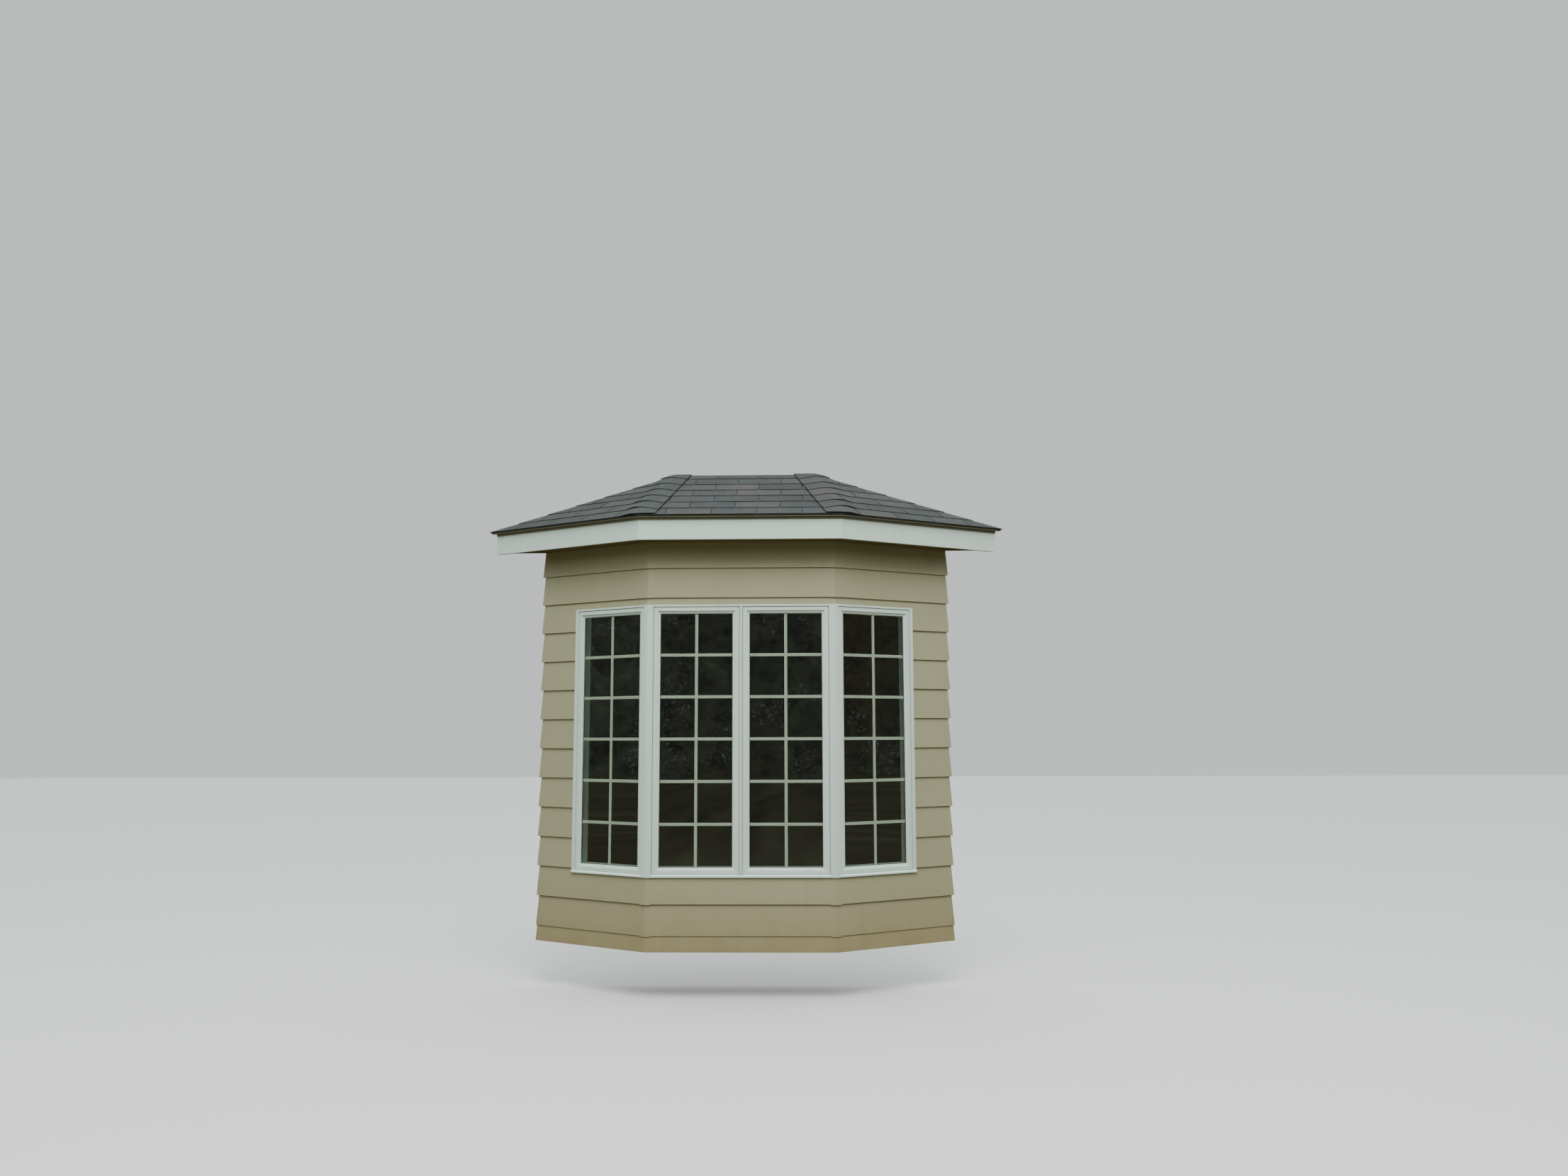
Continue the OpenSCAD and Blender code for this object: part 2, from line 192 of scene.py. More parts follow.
def soften(outline, radius, steps=2):
    """The same closed outline with each corner cut by a small arc."""
    soft = []
    for i, point in enumerate(outline):
        corner = Vector(point)
        back, ahead = Vector(outline[i - 1]) - corner, Vector(outline[(i + 1) % len(outline)]) - corner
        r = min(radius, back.length * EDGE_SHARE, ahead.length * EDGE_SHARE)
        ends = corner + back.normalized() * r, corner + ahead.normalized() * r
        soft += [tuple(p) for p in arc(ends[0], corner, ends[1], steps)]
    return soft


def tone_at(*place):
    """A tone from 0 to 1 that depends on three numbers."""
    return 0.5 + 0.5 * noise.noise(Vector(place))


def rectangle(a0, a1, b0, b1, radius=0.0):
    outline = [(a0, b0), (a1, b0), (a1, b1), (a0, b1)]
    return soften(outline, radius) if radius else outline


# %% Solids with one section all along
def outward(points, faces):
    """Turns the faces round if the solid is inside out."""
    volume = 0.0
    for f in faces:
        a = Vector(points[f[0]])
        for i in range(1, len(f) - 1):
            volume += a.dot(Vector(points[f[i]]).cross(Vector(points[f[i + 1]])))
    return points, faces if volume > 0 else turned(faces)


def loft(rings):
    """Points and faces of a closed solid through rings of equal length."""
    n, points, faces = len(rings[0]), [p for ring in rings for p in ring], []
    for base in range(0, len(points) - n, n):
        for i in range(n):
            j = (i + 1) % n
            faces.append((base + i, base + j, base + n + j, base + n + i))
    faces += [tuple(reversed(range(n))), tuple(range(len(points) - n, len(points)))]
    return outward(points, faces)


def lengthwise(outline, u0, u1):
    """A solid with this (inset, z) section that runs along u."""
    return loft([[(u, inset, z) for inset, z in outline] for u in (u0, u1)])


def upright(outline, z0, z1):
    """A solid with this (u, inset) plan that stands."""
    return loft([[(u, inset, z) for u, inset in outline] for z in (z0, z1)])


def run(side, section, stations, bend, end=None):
    """A section of (inset, z) points that runs along a side. An end left open is cut on the mitre."""
    rings = []
    for k in range(stations + 1):
        ring = []
        for inset, z in section:
            first, last = side_ends(side, inset)
            u = first + ((last if end is None else end) - first) * k / stations
            depth = bend(u, inset, z)
            if k == 0:
                u = side_ends(side, depth)[0]
            elif k == stations and end is None:
                u = side_ends(side, depth)[1]
            ring.append((u, depth, z))
        rings.append(ring)
    return loft(rings)


print("Helpers ready.")

# %% [markdown]
# ## Materials: building blocks
# Paint, wood, glass and shingles share a few effects: a soft change of colour over the surface, dirt
# that rain has drawn down the face, a colour that turns darker and browner towards the foot of the
# siding, a fine grain, and a tone that differs from board to board. Each effect is a shader node group
# with its own inputs, so a material only says how much of it to use.
# Noise textures read the object's own metres, which keeps the grain the same size on every piece.

# %% Node helpers
def feed(tree, target, value):
    """Sets an input to a plain value, or links an output to it."""
    if isinstance(value, bpy.types.NodeSocket):
        tree.links.new(value, target)
    else:
        target.default_value = value


def wire(tree, kind, inputs=(), output=0, **settings):
    """Adds a node, feeds its inputs by number or by label, and gives back one of its outputs."""
    node = tree.nodes.new("ShaderNode" + kind)
    for key, value in settings.items():
        setattr(node, key, value)
    for label, value in dict(inputs).items():
        feed(tree, node.inputs[label], value)
    return node.outputs[output]


def metres(tree, scale=(1.0, 1.0, 1.0)):
    """The object's own coordinates, stretched by a scale for each axis."""
    return wire(tree, "Mapping", {"Vector": wire(tree, "TexCoord", output="Object"), "Scale": scale})


def noisy(tree, vector, scale, detail=3.0, roughness=0.5):
    labels = ("Vector", "Scale", "Detail", "Roughness")
    return wire(tree, "TexNoise", zip(labels, (vector, scale, detail, roughness)))


def remap(tree, value, low, high, to_low=0.0, to_high=1.0):
    return wire(tree, "MapRange", enumerate((value, low, high, to_low, to_high)))


def compute(tree, operation, a, b):
    return wire(tree, "Math", {0: a, 1: b}, operation=operation)


def times(tree, a, b):
    return compute(tree, "MULTIPLY", a, b)


def swing(tree, value, amount):
    """How far a value from 0 to 1 lies from its middle, times an amount."""
    return times(tree, compute(tree, "SUBTRACT", value, 0.5), amount)


def blend(tree, factor, a, b):
    return wire(tree, "Mix", {0: factor, 6: a, 7: b}, 2, data_type="RGBA")


def brighten(tree, color, value):
    return wire(tree, "HueSaturation", {"Color": color, "Value": value})


def one_axis(tree, vector, axis):
    return wire(tree, "SeparateXYZ", {0: vector}, axis)


def face_tone(tree):
    return wire(tree, "Attribute", output="Fac", attribute_name="tone")


# %% Start a node group
def start_group(name, inputs, outputs):
    """Each input has a label and a value, whose kind decides the kind of the socket."""
    tree = bpy.data.node_groups.new(name, "ShaderNodeTree")
    for label, value in inputs.items():
        kind = "Float" if isinstance(value, float) else "Vector" if len(value) == 3 else "Color"
        socket = tree.interface.new_socket(label, in_out="INPUT", socket_type="NodeSocket" + kind)
        socket.default_value = value
    for label in outputs:
        kind = "Color" if label == "Color" else "Float"
        tree.interface.new_socket(label, in_out="OUTPUT", socket_type="NodeSocket" + kind)
    return tree, tree.nodes.new("NodeGroupInput").outputs, tree.nodes.new("NodeGroupOutput").inputs


# %% Group: colour that drifts over the surface, and from board to board
WHITE = (1.0, 1.0, 1.0, 1.0)


def build_drift():
    tree, given, result = start_group(
        "colour drift", {"Color": WHITE, "Drift": 0.1, "Size": 2.0, "Board Tone": 0.0}, ["Color"])
    broad = noisy(tree, metres(tree), given["Size"], 4.0, 0.55)
    shift, board = swing(tree, broad, given["Drift"]), swing(tree, face_tone(tree), given["Board Tone"])
    value = compute(tree, "ADD", 1.0, compute(tree, "ADD", shift, board))
    feed(tree, result["Color"], brighten(tree, given["Color"], value))
    return tree


# %% Group: dirt that rain has drawn down the face
def build_runs():
    tree, given, result = start_group(
        "rain runs", {"Color": WHITE, "Dirt": (0.1, 0.09, 0.06, 1.0), "Amount": 0.3, "Width": 14.0},
        ["Color", "Mask"])
    streaks = noisy(tree, metres(tree, (1.0, 1.0, 0.06)), given["Width"], 5.0, 0.65)
    clouds = noisy(tree, metres(tree), 1.7, 4.0, 0.6)
    wet = times(tree, remap(tree, streaks, 0.50, 0.74), remap(tree, clouds, 0.36, 0.68))
    mask = times(tree, wet, given["Amount"])
    feed(tree, result["Color"], blend(tree, mask, given["Color"], given["Dirt"]))
    feed(tree, result["Mask"], mask)
    return tree


# %% Group: a darker, browner colour towards the foot of the siding
def build_foot_darkening():
    tree, given, result = start_group(
        "darker towards the foot", {"Color": WHITE, "Foot Tint": (0.33, 0.23, 0.08, 1.0), "Amount": 0.5, "Foot": 0.0,
                        "Head": 1.0}, ["Color"])
    where = metres(tree)
    fall = remap(tree, one_axis(tree, where, "Z"), given["Foot"], given["Head"], 1.0, 0.0)
    patchy = remap(tree, noisy(tree, where, 6.0, 5.0, 0.65), 0.3, 0.7, 0.75, 1.25)
    thick = times(tree, compute(tree, "POWER", fall, 1.6), patchy)
    mask = times(tree, thick, given["Amount"])
    feed(tree, result["Color"], blend(tree, mask, given["Color"], given["Foot Tint"]))
    return tree


# %% Group: a fine grain for the Height of a bump
def build_grain():
    tree, given, result = start_group(
        "fine grain", {"Size": 400.0, "Stretch": (1.0, 1.0, 1.0), "Coarse": 0.3}, ["Height"])
    where = metres(tree, given["Stretch"])
    fine = noisy(tree, where, given["Size"], 4.0, 0.6)
    coarse = noisy(tree, where, times(tree, given["Size"], 0.08), 3.0, 0.5)
    feed(tree, result["Height"], wire(tree, "Mix", {0: given["Coarse"], 2: fine, 3: coarse}))
    return tree


# %% Group: the figure of sawn wood, running along one direction
def build_figure():
    tree, given, result = start_group(
        "wood figure", {"Light": WHITE, "Dark": (0.3, 0.2, 0.1, 1.0), "Along": (0.08, 1.0, 1.0),
                        "Turn": (0.0, 0.0, 0.0)}, ["Color", "Height"])
    own = wire(tree, "TexCoord", output="Object")
    along = wire(tree, "Mapping", {"Vector": own, "Rotation": given["Turn"]})
    where = wire(tree, "Mapping", {"Vector": along, "Scale": given["Along"]})
    rings = times(tree, noisy(tree, where, 26.0, 2.0, 0.4), 9.0)
    bands, fibre = compute(tree, "FRACT", rings, 0.0), noisy(tree, where, 420.0, 3.0, 0.6)
    figure = compute(tree, "ADD", times(tree, bands, 0.55), times(tree, fibre, 0.45))
    feed(tree, result["Color"], blend(tree, figure, given["Light"], given["Dark"]))
    feed(tree, result["Height"], figure)
    return tree


DRIFT, RUNS, FOOT_DARKENING = build_drift(), build_runs(), build_foot_darkening()
GRAIN, FIGURE = build_grain(), build_figure()
print("Node groups:", [g.name for g in (DRIFT, RUNS, FOOT_DARKENING, GRAIN, FIGURE)])


# %% Start a material, and use a group in it
def start_material(name, **constants):
    """A new material; constants are set on the shader's own sockets."""
    material = bpy.data.materials.new(name)
    material.use_nodes = True
    shader = material.node_tree.nodes["Principled BSDF"]
    for label, value in constants.items():
        shader.inputs[label.replace("_", " ")].default_value = value
    return material, material.node_tree, shader


def use(tree, group, **values):
    node = tree.nodes.new("ShaderNodeGroup")
    node.node_tree = group
    for label, value in values.items():
        feed(tree, node.inputs[label.replace("_", " ")], value)
    return node.outputs


def relief(tree, shader, height, depth):
    """Bump of a real depth in metres."""
    feed(tree, shader.inputs["Normal"],
         wire(tree, "Bump", {"Strength": 1.0, "Distance": depth, "Height": height}, "Normal"))


def colour(red, green, blue):
    """A colour given as a paint chart gives it, from 0 to 255, in the linear form nodes work in."""
    def line(x):
        x /= 255
        return x / 12.92 if x <= 0.04045 else ((x + 0.055) / 1.055) ** 2.4
    return (line(red), line(green), line(blue), 1.0)


# %% [markdown]
# ## Materials: paint
# The siding, the trim, the fascia and the inside are all paint, but on different materials. House
# paint on hardboard has a low sheen, drifts a little in colour where the sun and the damp reach it,
# and is marked by runs of dirt below every edge that drips. One function makes them all, and only
# the numbers differ.

# %% Paint on any surface
# How far above the foot of the siding its colour turns darker and browner.
FOOT_DARKENING_H = 0.6
SHEEN_SWING, DIRT_DULLS = 0.05, 0.2


def paint(name, tint, dirt, sheen, drift=0.08, board_tone=0.0, runs=0.3, grain=500.0, depth=0.0003,
          stretch=(1.0, 1.0, 1.0), metal=0.0, foot_darkening=0.0):
    material, tree, shader = start_material(name, Metallic=metal)
    base = use(tree, DRIFT, Color=tint, Drift=drift, Size=2.2, Board_Tone=board_tone)
    face = use(tree, RUNS, Color=base["Color"], Dirt=dirt, Amount=runs)
    height = use(tree, GRAIN, Size=grain, Stretch=stretch)["Height"]
    skin = face["Color"]
    # Towards the foot the colour turns darker and browner.
    if foot_darkening:
        skin = use(tree, FOOT_DARKENING, Color=skin, Amount=foot_darkening, Foot=foot_z, Head=foot_z + FOOT_DARKENING_H)["Color"]
    feed(tree, shader.inputs["Base Color"], skin)
    grainy = remap(tree, height, 0.3, 0.7, sheen - SHEEN_SWING, sheen + SHEEN_SWING)
    dull = times(tree, face["Mask"], DIRT_DULLS)
    feed(tree, shader.inputs["Roughness"], compute(tree, "ADD", grainy, dull))
    relief(tree, shader, height, depth)
    return material


TAN, DIRT = colour(177, 175, 139), colour(88, 82, 62)
siding_paint = paint("siding paint", TAN, DIRT, 0.56, drift=0.14, board_tone=0.06, runs=0.14, grain=260.0,
                     depth=0.0004, stretch=(0.35, 0.35, 1.0), foot_darkening=0.55)
cap_paint = paint("corner cap paint", TAN, DIRT, 0.54, drift=0.14, runs=0.14, foot_darkening=0.55)
window_white = paint("window white", colour(231, 249, 236), colour(140, 144, 128), 0.42, drift=0.05,
                     runs=0.22, grain=700.0, depth=0.00012)
fascia_paint = paint("fascia paint", colour(227, 247, 235), colour(128, 130, 116), 0.5, drift=0.06,
                     stretch=(0.4, 0.4, 1.0))
# The soffit shares the siding's tan; this colour is mixed darker and browner, which is painted shade under
# the eaves.
soffit_tan_and_painted_shade = paint("soffit tan and painted shade", colour(132, 122, 88), DIRT, 0.7, drift=0.15, runs=0.15)
drip_metal = paint("drip strip", colour(150, 147, 128), DIRT, 0.45, drift=0.2, runs=0.4, metal=0.2)
plaster_paint = paint("room paint", colour(232, 228, 216), colour(190, 184, 168), 0.85, drift=0.03,
                      runs=0.05, grain=900.0, depth=0.0002)
joinery_paint = paint("joinery paint", colour(238, 237, 230), colour(190, 188, 178), 0.35, drift=0.02,
                      runs=0.04, grain=600.0, depth=0.0001)
print("Paints mixed.")

# %% [markdown]
# ## Materials: sawn wood and plywood
# The framing shows only from behind and from below. Softwood has growth rings that run along the
# board, so the same noise is squeezed across the grain and stretched along it. A board that stands,
# lies or slopes gets its own direction.

# %% Sawn wood in several directions
PINE_LIGHT, PINE_DARK = colour(214, 180, 132), colour(166, 120, 72)
ACROSS_FRONT = (0.06, 1.0, 1.0)


def sawn_wood(name, along, turn=0.0, light=PINE_LIGHT, dark=PINE_DARK):
    material, tree, shader = start_material(name)
    figure = use(tree, FIGURE, Light=light, Dark=dark, Along=along, Turn=(0.0, 0.0, turn))
    tinted = use(tree, DRIFT, Color=figure["Color"], Drift=0.35, Size=1.3, Board_Tone=0.2)
    feed(tree, shader.inputs["Base Color"], tinted["Color"])
    feed(tree, shader.inputs["Roughness"], remap(tree, figure["Height"], 0.0, 1.0, 0.62, 0.8))
    relief(tree, shader, figure["Height"], 0.0006)
    return material


wood_level = sawn_wood("sawn wood, level", ACROSS_FRONT)
wood_left = sawn_wood("sawn wood, left side", ACROSS_FRONT, cant)
wood_right = sawn_wood("sawn wood, right side", ACROSS_FRONT, -cant)
wood_inward = sawn_wood("sawn wood, inward", (1.0, 0.06, 0.3))
wood_upright = sawn_wood("sawn wood, upright", (1.0, 1.0, 0.06))
plywood = sawn_wood("plywood", (0.05, 0.6, 1.0), light=colour(206, 172, 124), dark=colour(170, 130, 84))
print("Wood cut.")

# %% [markdown]
# ## Materials: glass
# Seen from outdoors by day, a window is nearly black, because the room behind it is far darker than
# the sky. A single dark pane would hide the bars inside the glass. So the outer pane is clear, the
# bars lie behind it, and the inner pane carries a dark tint: painted shade that stands in for the dim
# room. Glass is left as a plain transmissive surface, with its constants on the shader's own sockets.

# %% Clear glass, and glass tinted with painted room shade
def glass(name, tint):
    """Float glass: a faint wave in the surface, and a film of dust that comes and goes."""
    material, tree, shader = start_material(name, Base_Color=tint, IOR=1.45, Transmission_Weight=1.0)
    dust = noisy(tree, metres(tree, (1.0, 1.0, 0.4)), 5.0, 5.0, 0.6)
    feed(tree, shader.inputs["Roughness"], remap(tree, dust, 0.45, 0.8, 0.0, 0.02))
    relief(tree, shader, noisy(tree, metres(tree, (1.0, 1.0, 0.5)), 4.0, 1.0), 0.0004)
    return material


clear_glass = glass("clear pane", (0.93, 0.96, 0.94, 1.0))
# The inner pane's dark tint is painted shade for the dim room behind it.
room_shade_glass = glass("inner pane with painted room shade", (0.42, 0.44, 0.405, 1.0))
bar_finish = paint("bar finish", colour(235, 250, 222), colour(170, 180, 160), 0.45, drift=0.04,
                   runs=0.0, depth=0.0001)
spacer_metal = paint("spacer metal", colour(168, 176, 162), colour(120, 126, 116), 0.38, drift=0.08,
                     runs=0.2, grain=900.0, depth=0.0001, metal=0.5)
strip_vinyl = paint("weather strip vinyl", colour(150, 154, 147), colour(92, 90, 78), 0.6, drift=0.1,
                    runs=0.4, grain=900.0, depth=0.0002)

# %% [markdown]
# ## Materials: shingles
# A shingle is felt soaked in asphalt and covered with crushed stone. From a few metres it is a
# mottled grey, and each tab has its own shade, because the stone was mixed in batches. The stone is
# far too fine to model, so a noise makes both its colour and its bump, and rain has washed lighter,
# dusty streaks down the slope.

# %% Mineral granules
def granules(name, tint, warm):
    """Crushed stone in two batches of colour; the tone of a tab says how warm its batch is."""
    material, tree, shader = start_material(name, Roughness=0.93)
    batch = blend(tree, remap(tree, face_tone(tree), 0.62, 0.95, 0.0, 0.45), tint, warm)
    tabs = use(tree, DRIFT, Color=batch, Drift=0.75, Size=6.0, Board_Tone=0.3)
    where = metres(tree)
    stones = wire(tree, "TexVoronoi", {"Vector": where, "Scale": 420.0}, "Distance")
    blots = remap(tree, noisy(tree, where, 70.0, 6.0, 0.75), 0.3, 0.7, 0.72, 1.25)
    speckle = times(tree, remap(tree, stones, 0.1, 0.9, 1.1, 0.7), blots)
    worn = use(tree, RUNS, Color=brighten(tree, tabs["Color"], speckle), Dirt=colour(86, 84, 76),
               Amount=0.3, Width=9.0)
    feed(tree, shader.inputs["Base Color"], worn["Color"])
    relief(tree, shader, stones, 0.0012)
    return material


shingle_finish = granules("shingle granules", colour(64, 69, 67), colour(76, 71, 66))
# Mixed darker than the tabs, the felt carries painted shade in the slots and along the eaves.
slot_felt_and_painted_shade = granules("felt in the slots, painted shade", colour(48, 50, 48), colour(50, 48, 46))
asphalt_edge = paint("cut asphalt edge", colour(29, 29, 28), colour(60, 58, 52), 0.85, drift=0.3, runs=0.2,
                     grain=900.0, depth=0.0004)
print("Materials:", len(bpy.data.materials))

# %% [markdown]
# ## Siding
# Lap siding is nailed on from the bottom up. Each board tips back at its top, so its lower edge, the
# butt, stands out over the board below and throws the dark line that makes the wall read as boards.
# A flat wall with a bump pattern would lose those lines at a low angle, so each course is a real
# tapered board. Its butt is softened, it wanders by half a millimetre along its length as hardboard
# does, and it carries a tone of its own.

# %% Heights of the courses
COURSE_H, FIRST_COURSE_H = 203.2 * MM, 103.5 * MM
TIP_BACK, BOARD_T, BACK_CLEAR = 9 * MM, 8.5 * MM, 15.8 * MM
TILT, UNDER_LAP = TIP_BACK / COURSE_H, 10 * MM
FRAME_INSET, SASH_INSET = 4 * MM, 8 * MM

course_feet = [foot_z, foot_z + FIRST_COURSE_H]
while course_feet[-1] + COURSE_H < soffit_z - MM:
    course_feet.append(course_feet[-1] + COURSE_H)
courses = list(zip(course_feet, course_feet[1:] + [soffit_z]))
print(len(courses), "courses, the lowest", round((courses[0][1] - courses[0][0]) / MM, 1), "mm high")


def along_left(node, inset):
    """Distance from the wall, along the left side, to where a part's face begins at an inset."""
    return (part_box(node)[0].x + wall_half - inset * math.sin(cant)) / math.cos(cant)


side_strip = along_left("window_frame_left", FRAME_INSET)
print("strip of siding beside a side window:", round(side_strip / MM, 1), "mm")


# %% One board
BUTT_SOFT, BOARD_WANDER, STATION_LEN = 1.6 * MM, 0.45 * MM, 160 * MM


def wander(seed, amount):
    """Moves a board's skin by a fraction of a millimetre, in or out, along its length."""
    def bend(u, inset, z):
        return inset + amount * (1 + noise.noise(Vector((u * 1.6, seed * 7.1, z * 0.4))))
    return bend


def board_section(foot, head, course_foot):
    """The tapered board between two heights, as (inset, z) points: a butt is softened, a cut is not."""
    low, high = (foot - course_foot) * TILT, (head - course_foot) * TILT
    butt = [(low, foot)]
    if foot <= course_foot + MM:
        butt = soften([(low + BOARD_T, foot), (low, foot), (high, head)], BUTT_SOFT)[3:6]
    top = [(high, head), (min(high + BOARD_T, BACK_CLEAR), head)]
    return [(min(low + BOARD_T, BACK_CLEAR), foot)] + butt + top


def board(shape, side, foot, head, course_foot, seed, end=None):
    start, mitre_end = side_ends(side, 0)
    stations = max(2, round(((end or mitre_end) - start) / STATION_LEN))
    section = board_section(foot, head, course_foot)
    solid = run(side, section, stations, wander(seed, BOARD_WANDER), end)
    shape.add(*solid, tone_at(seed * 3.7, foot_z + seed, 0.5))


# %% The boards of each side
SEEDS_A_SIDE = 40


def side_of_boards(side):
    """Whole boards above and below the windows, and short ones between the wall and a side window."""
    shape = Shape()
    for i, (foot, head) in enumerate(courses):
        lap = head + UNDER_LAP if i + 1 < len(courses) else head
        seed = i + SEEDS_A_SIDE * list(PLACE).index(side)
        below, above = foot < sill_z, head > head_z
        if below:
            board(shape, side, foot, min(lap, sill_z), foot, seed)
        if above:
            board(shape, side, max(foot, head_z), lap, foot, seed)
        if side != "front":
            strip_foot = sill_z if below and head > sill_z else foot
            strip_head = head_z if above and foot < head_z else lap
            if strip_head > sill_z and strip_foot < head_z:
                board(shape, side, strip_foot, strip_head, foot, seed, end=side_strip)
    return shape.piece("boards_" + side, "siding", siding_paint, side, ["siding_" + side])


boards = [side_of_boards(side) for side in PLACE]
print("Siding:", [f"{len(b.data.polygons)} faces" for b in boards])

# %% [markdown]
# ## Corner caps
# Where the boards of two sides meet, their ends are raw. Each course gets a small folded cap of
# sheet metal that hooks under the butt, and a stack of caps makes the notched line at each corner.
# A cap is a folded strip: the same bent outline, taken at the lip, just over it and at the head of
# the course. The fold is rounded, because a sharp edge of metal would catch no light.

# %% Caps on the two front corners
CAP_W, CAP_OUT, SHEET_T = 38 * MM, 0.1 * MM, 1.4 * MM
FOLD_R, LOW_DROP, HIGH_DROP = 4 * MM, 4 * MM, 1 * MM
LIP_H, LIP_OUT = 1.2 * MM, 0.35


def fold_outline(inset):
    """The cap's plan at one height, on the left corner: along the front, round the fold, along the side."""
    along_front, along_side = Vector((1, 0)), Vector((-math.cos(cant), math.sin(cant)))
    outline = []
    for layer, order in ((inset, 1), (inset + SHEET_T, -1)):
        corner = Vector((-front_half + layer * mitre, layer - bay_depth))
        wing = CAP_W - layer * mitre
        path = [corner + along_front * wing]
        path += arc(corner + along_front * FOLD_R, corner, corner + along_side * FOLD_R, 4)
        path.append(corner + along_side * wing)
        outline += path[::order]
    return outline


def corner_cap(shape, foot, head, course_foot, drop):
    lip, rings = foot - drop, []
    for z, proud in ((lip, LIP_OUT), (lip + LIP_H, 1.0), (head, 1.0)):
        inset = (z - course_foot) * TILT - CAP_OUT * proud
        rings.append([(p.x, p.y, z) for p in fold_outline(inset)])
    shape.add(*loft(rings), tone_at(foot * 9.0, 3.3, 0.7))


stacks = Shape()
for i, (foot, head) in enumerate(courses):
    if foot < sill_z:
        corner_cap(stacks, foot, min(head, sill_z), foot, LOW_DROP if i else 0.0)
    elif head > head_z:
        cut = foot < head_z
        corner_cap(stacks, head_z if cut else foot, head, foot, 0.0 if cut else HIGH_DROP)
tones = stacks.tone * 2
stacks.add([(-x, y, z) for x, y, z in stacks.points], turned(stacks.faces))
stacks.tone = tones
caps = stacks.piece("corner_cap_stacks", "corner_cap", cap_paint, None, ["corner_caps"])
print("Corner caps:", len(caps.data.polygons), "faces")

# %% [markdown]
# ## Covers over the window joints
# The four casements are separate units, fixed side by side. A narrow strip covers the joint between
# the front pair, and a wider bent one covers each corner. They are flat white profiles with edges
# just soft enough to shine.

# %% Mullion cover and corner covers
COVER_INSET = FRAME_INSET - 6 * MM
COVER_SOFT, MULLION_LIFT = 1.5 * MM, 9 * MM


def cover_strip(name, node, outline, foot=sill_z):
    """An upright profile with the plan outline given in world x and y."""
    shape = Shape(upright(soften(outline, COVER_SOFT), foot, head_z))
    return shape.piece(name, "window_white", window_white, None, [node])


def bent_outline():
    """Bent strip over the left front corner: its faces follow the front and the side."""
    start_u = along_left("corner_cover_left", COVER_INSET)
    front_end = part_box("corner_cover_left")[1].x
    outline = []
    for inset, order in ((COVER_INSET, 1), (FRAME_INSET, -1)):
        corner = (inset * mitre - front_half, inset - bay_depth)
        side_end = tuple((LEFT @ Vector((start_u, inset, 0))).xy)
        outline += [(front_end, inset - bay_depth), corner, side_end][::order]
    return outline


mullion_low, mullion_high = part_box("centre_mullion")
mullion = rectangle(mullion_low.x, mullion_high.x, mullion_low.y, mullion_high.y)
bent = bent_outline()
covers = [
    cover_strip("mullion_strip", "centre_mullion", mullion, sill_z + MULLION_LIFT),
    cover_strip("corner_strip_left", "corner_cover_left", bent),
    cover_strip("corner_strip_right", "corner_cover_right", [(-x, y) for x, y in bent]),
]
print("Covers:", [c.name for c in covers])

# %% [markdown]
# ## Casement sashes
# A sash is four members welded at mitred corners. Its face is flat, then a small step leads down to
# the glazing bead, and the bead curves in to the glass: dark under the step at the top, where it
# faces down, and bright along the bottom, where it faces the sky. That little staircase of
# light and shadow is what the eye takes for a window, so the true section is drawn once and carried
# round the frame.
# Each member stays a solid of its own, a hair short of its mitres, which draws the fine diagonal
# line of a real welded corner.

# %% The section of a sash member
SASH_T, FACE_SOFT, BACK_CUT = 40 * MM, 1.4 * MM, 1.5 * MM
REBATE_W, REBATE_D = 2.2 * MM, 5 * MM
BEAD_W, BEAD_STEP = 17 * MM, 6 * MM
BEAD_CURVE = ((0.0, 0.0), (0.2, 0.03), (0.42, 0.13), (0.62, 0.33), (0.8, 0.6), (0.97, 0.93))
GLASS_BITE, GLASS_T = 8 * MM, 18 * MM
WELD = 0.25 * MM
glass_front = SASH_INSET + (SASH_T - GLASS_T) / 2
glass_back, sash_back = glass_front + GLASS_T, SASH_INSET + SASH_T


def sash_section(face_w):
    """(across, inset) points of a member whose face is this wide before the bead begins."""
    inner, crest = face_w + BEAD_W, SASH_INSET + BEAD_STEP
    rebate = [(0, SASH_INSET + REBATE_D + MM), (REBATE_W, SASH_INSET + REBATE_D)]
    # Only the arcs of the face's own two corners are kept.
    face = soften([(REBATE_W, sash_back), (REBATE_W, SASH_INSET), (face_w, SASH_INSET), (face_w, crest)],
                  FACE_SOFT, 3)[4:12]
    bead = [(face_w + across * BEAD_W, crest + down * (glass_front - crest)) for across, down in BEAD_CURVE]
    pocket = [(inner, glass_front), (inner - GLASS_BITE, glass_front), (inner - GLASS_BITE, glass_back),
              (inner, glass_back)]
    back = [(inner, sash_back - BACK_CUT), (inner - BACK_CUT, sash_back), (0, sash_back)]
    return rebate + face + bead + pocket + back


# %% Four members round one light
def member_loop(left, right, low, high, stile_face, rail_face):
    """The four members of a sash, as (u, inset, z) solids."""
    stile, rail = sash_section(stile_face), sash_section(rail_face)
    solids = []
    for along_u, mirrored in ((True, False), (True, True), (False, False), (False, True)):
        rings = []
        for far_end in (False, True):
            ring = []
            for (across_u, inset), (across_z, _) in zip(stile, rail):
                if along_u:
                    u = right - across_u - WELD if far_end else left + across_u + WELD
                    z = high - across_z if mirrored else low + across_z
                else:
                    u = right - across_u if mirrored else left + across_u
                    z = high - across_z - WELD if far_end else low + across_z + WELD
                ring.append((u, inset, z))
            rings.append(ring)
        solids.append(loft(rings))
    return solids


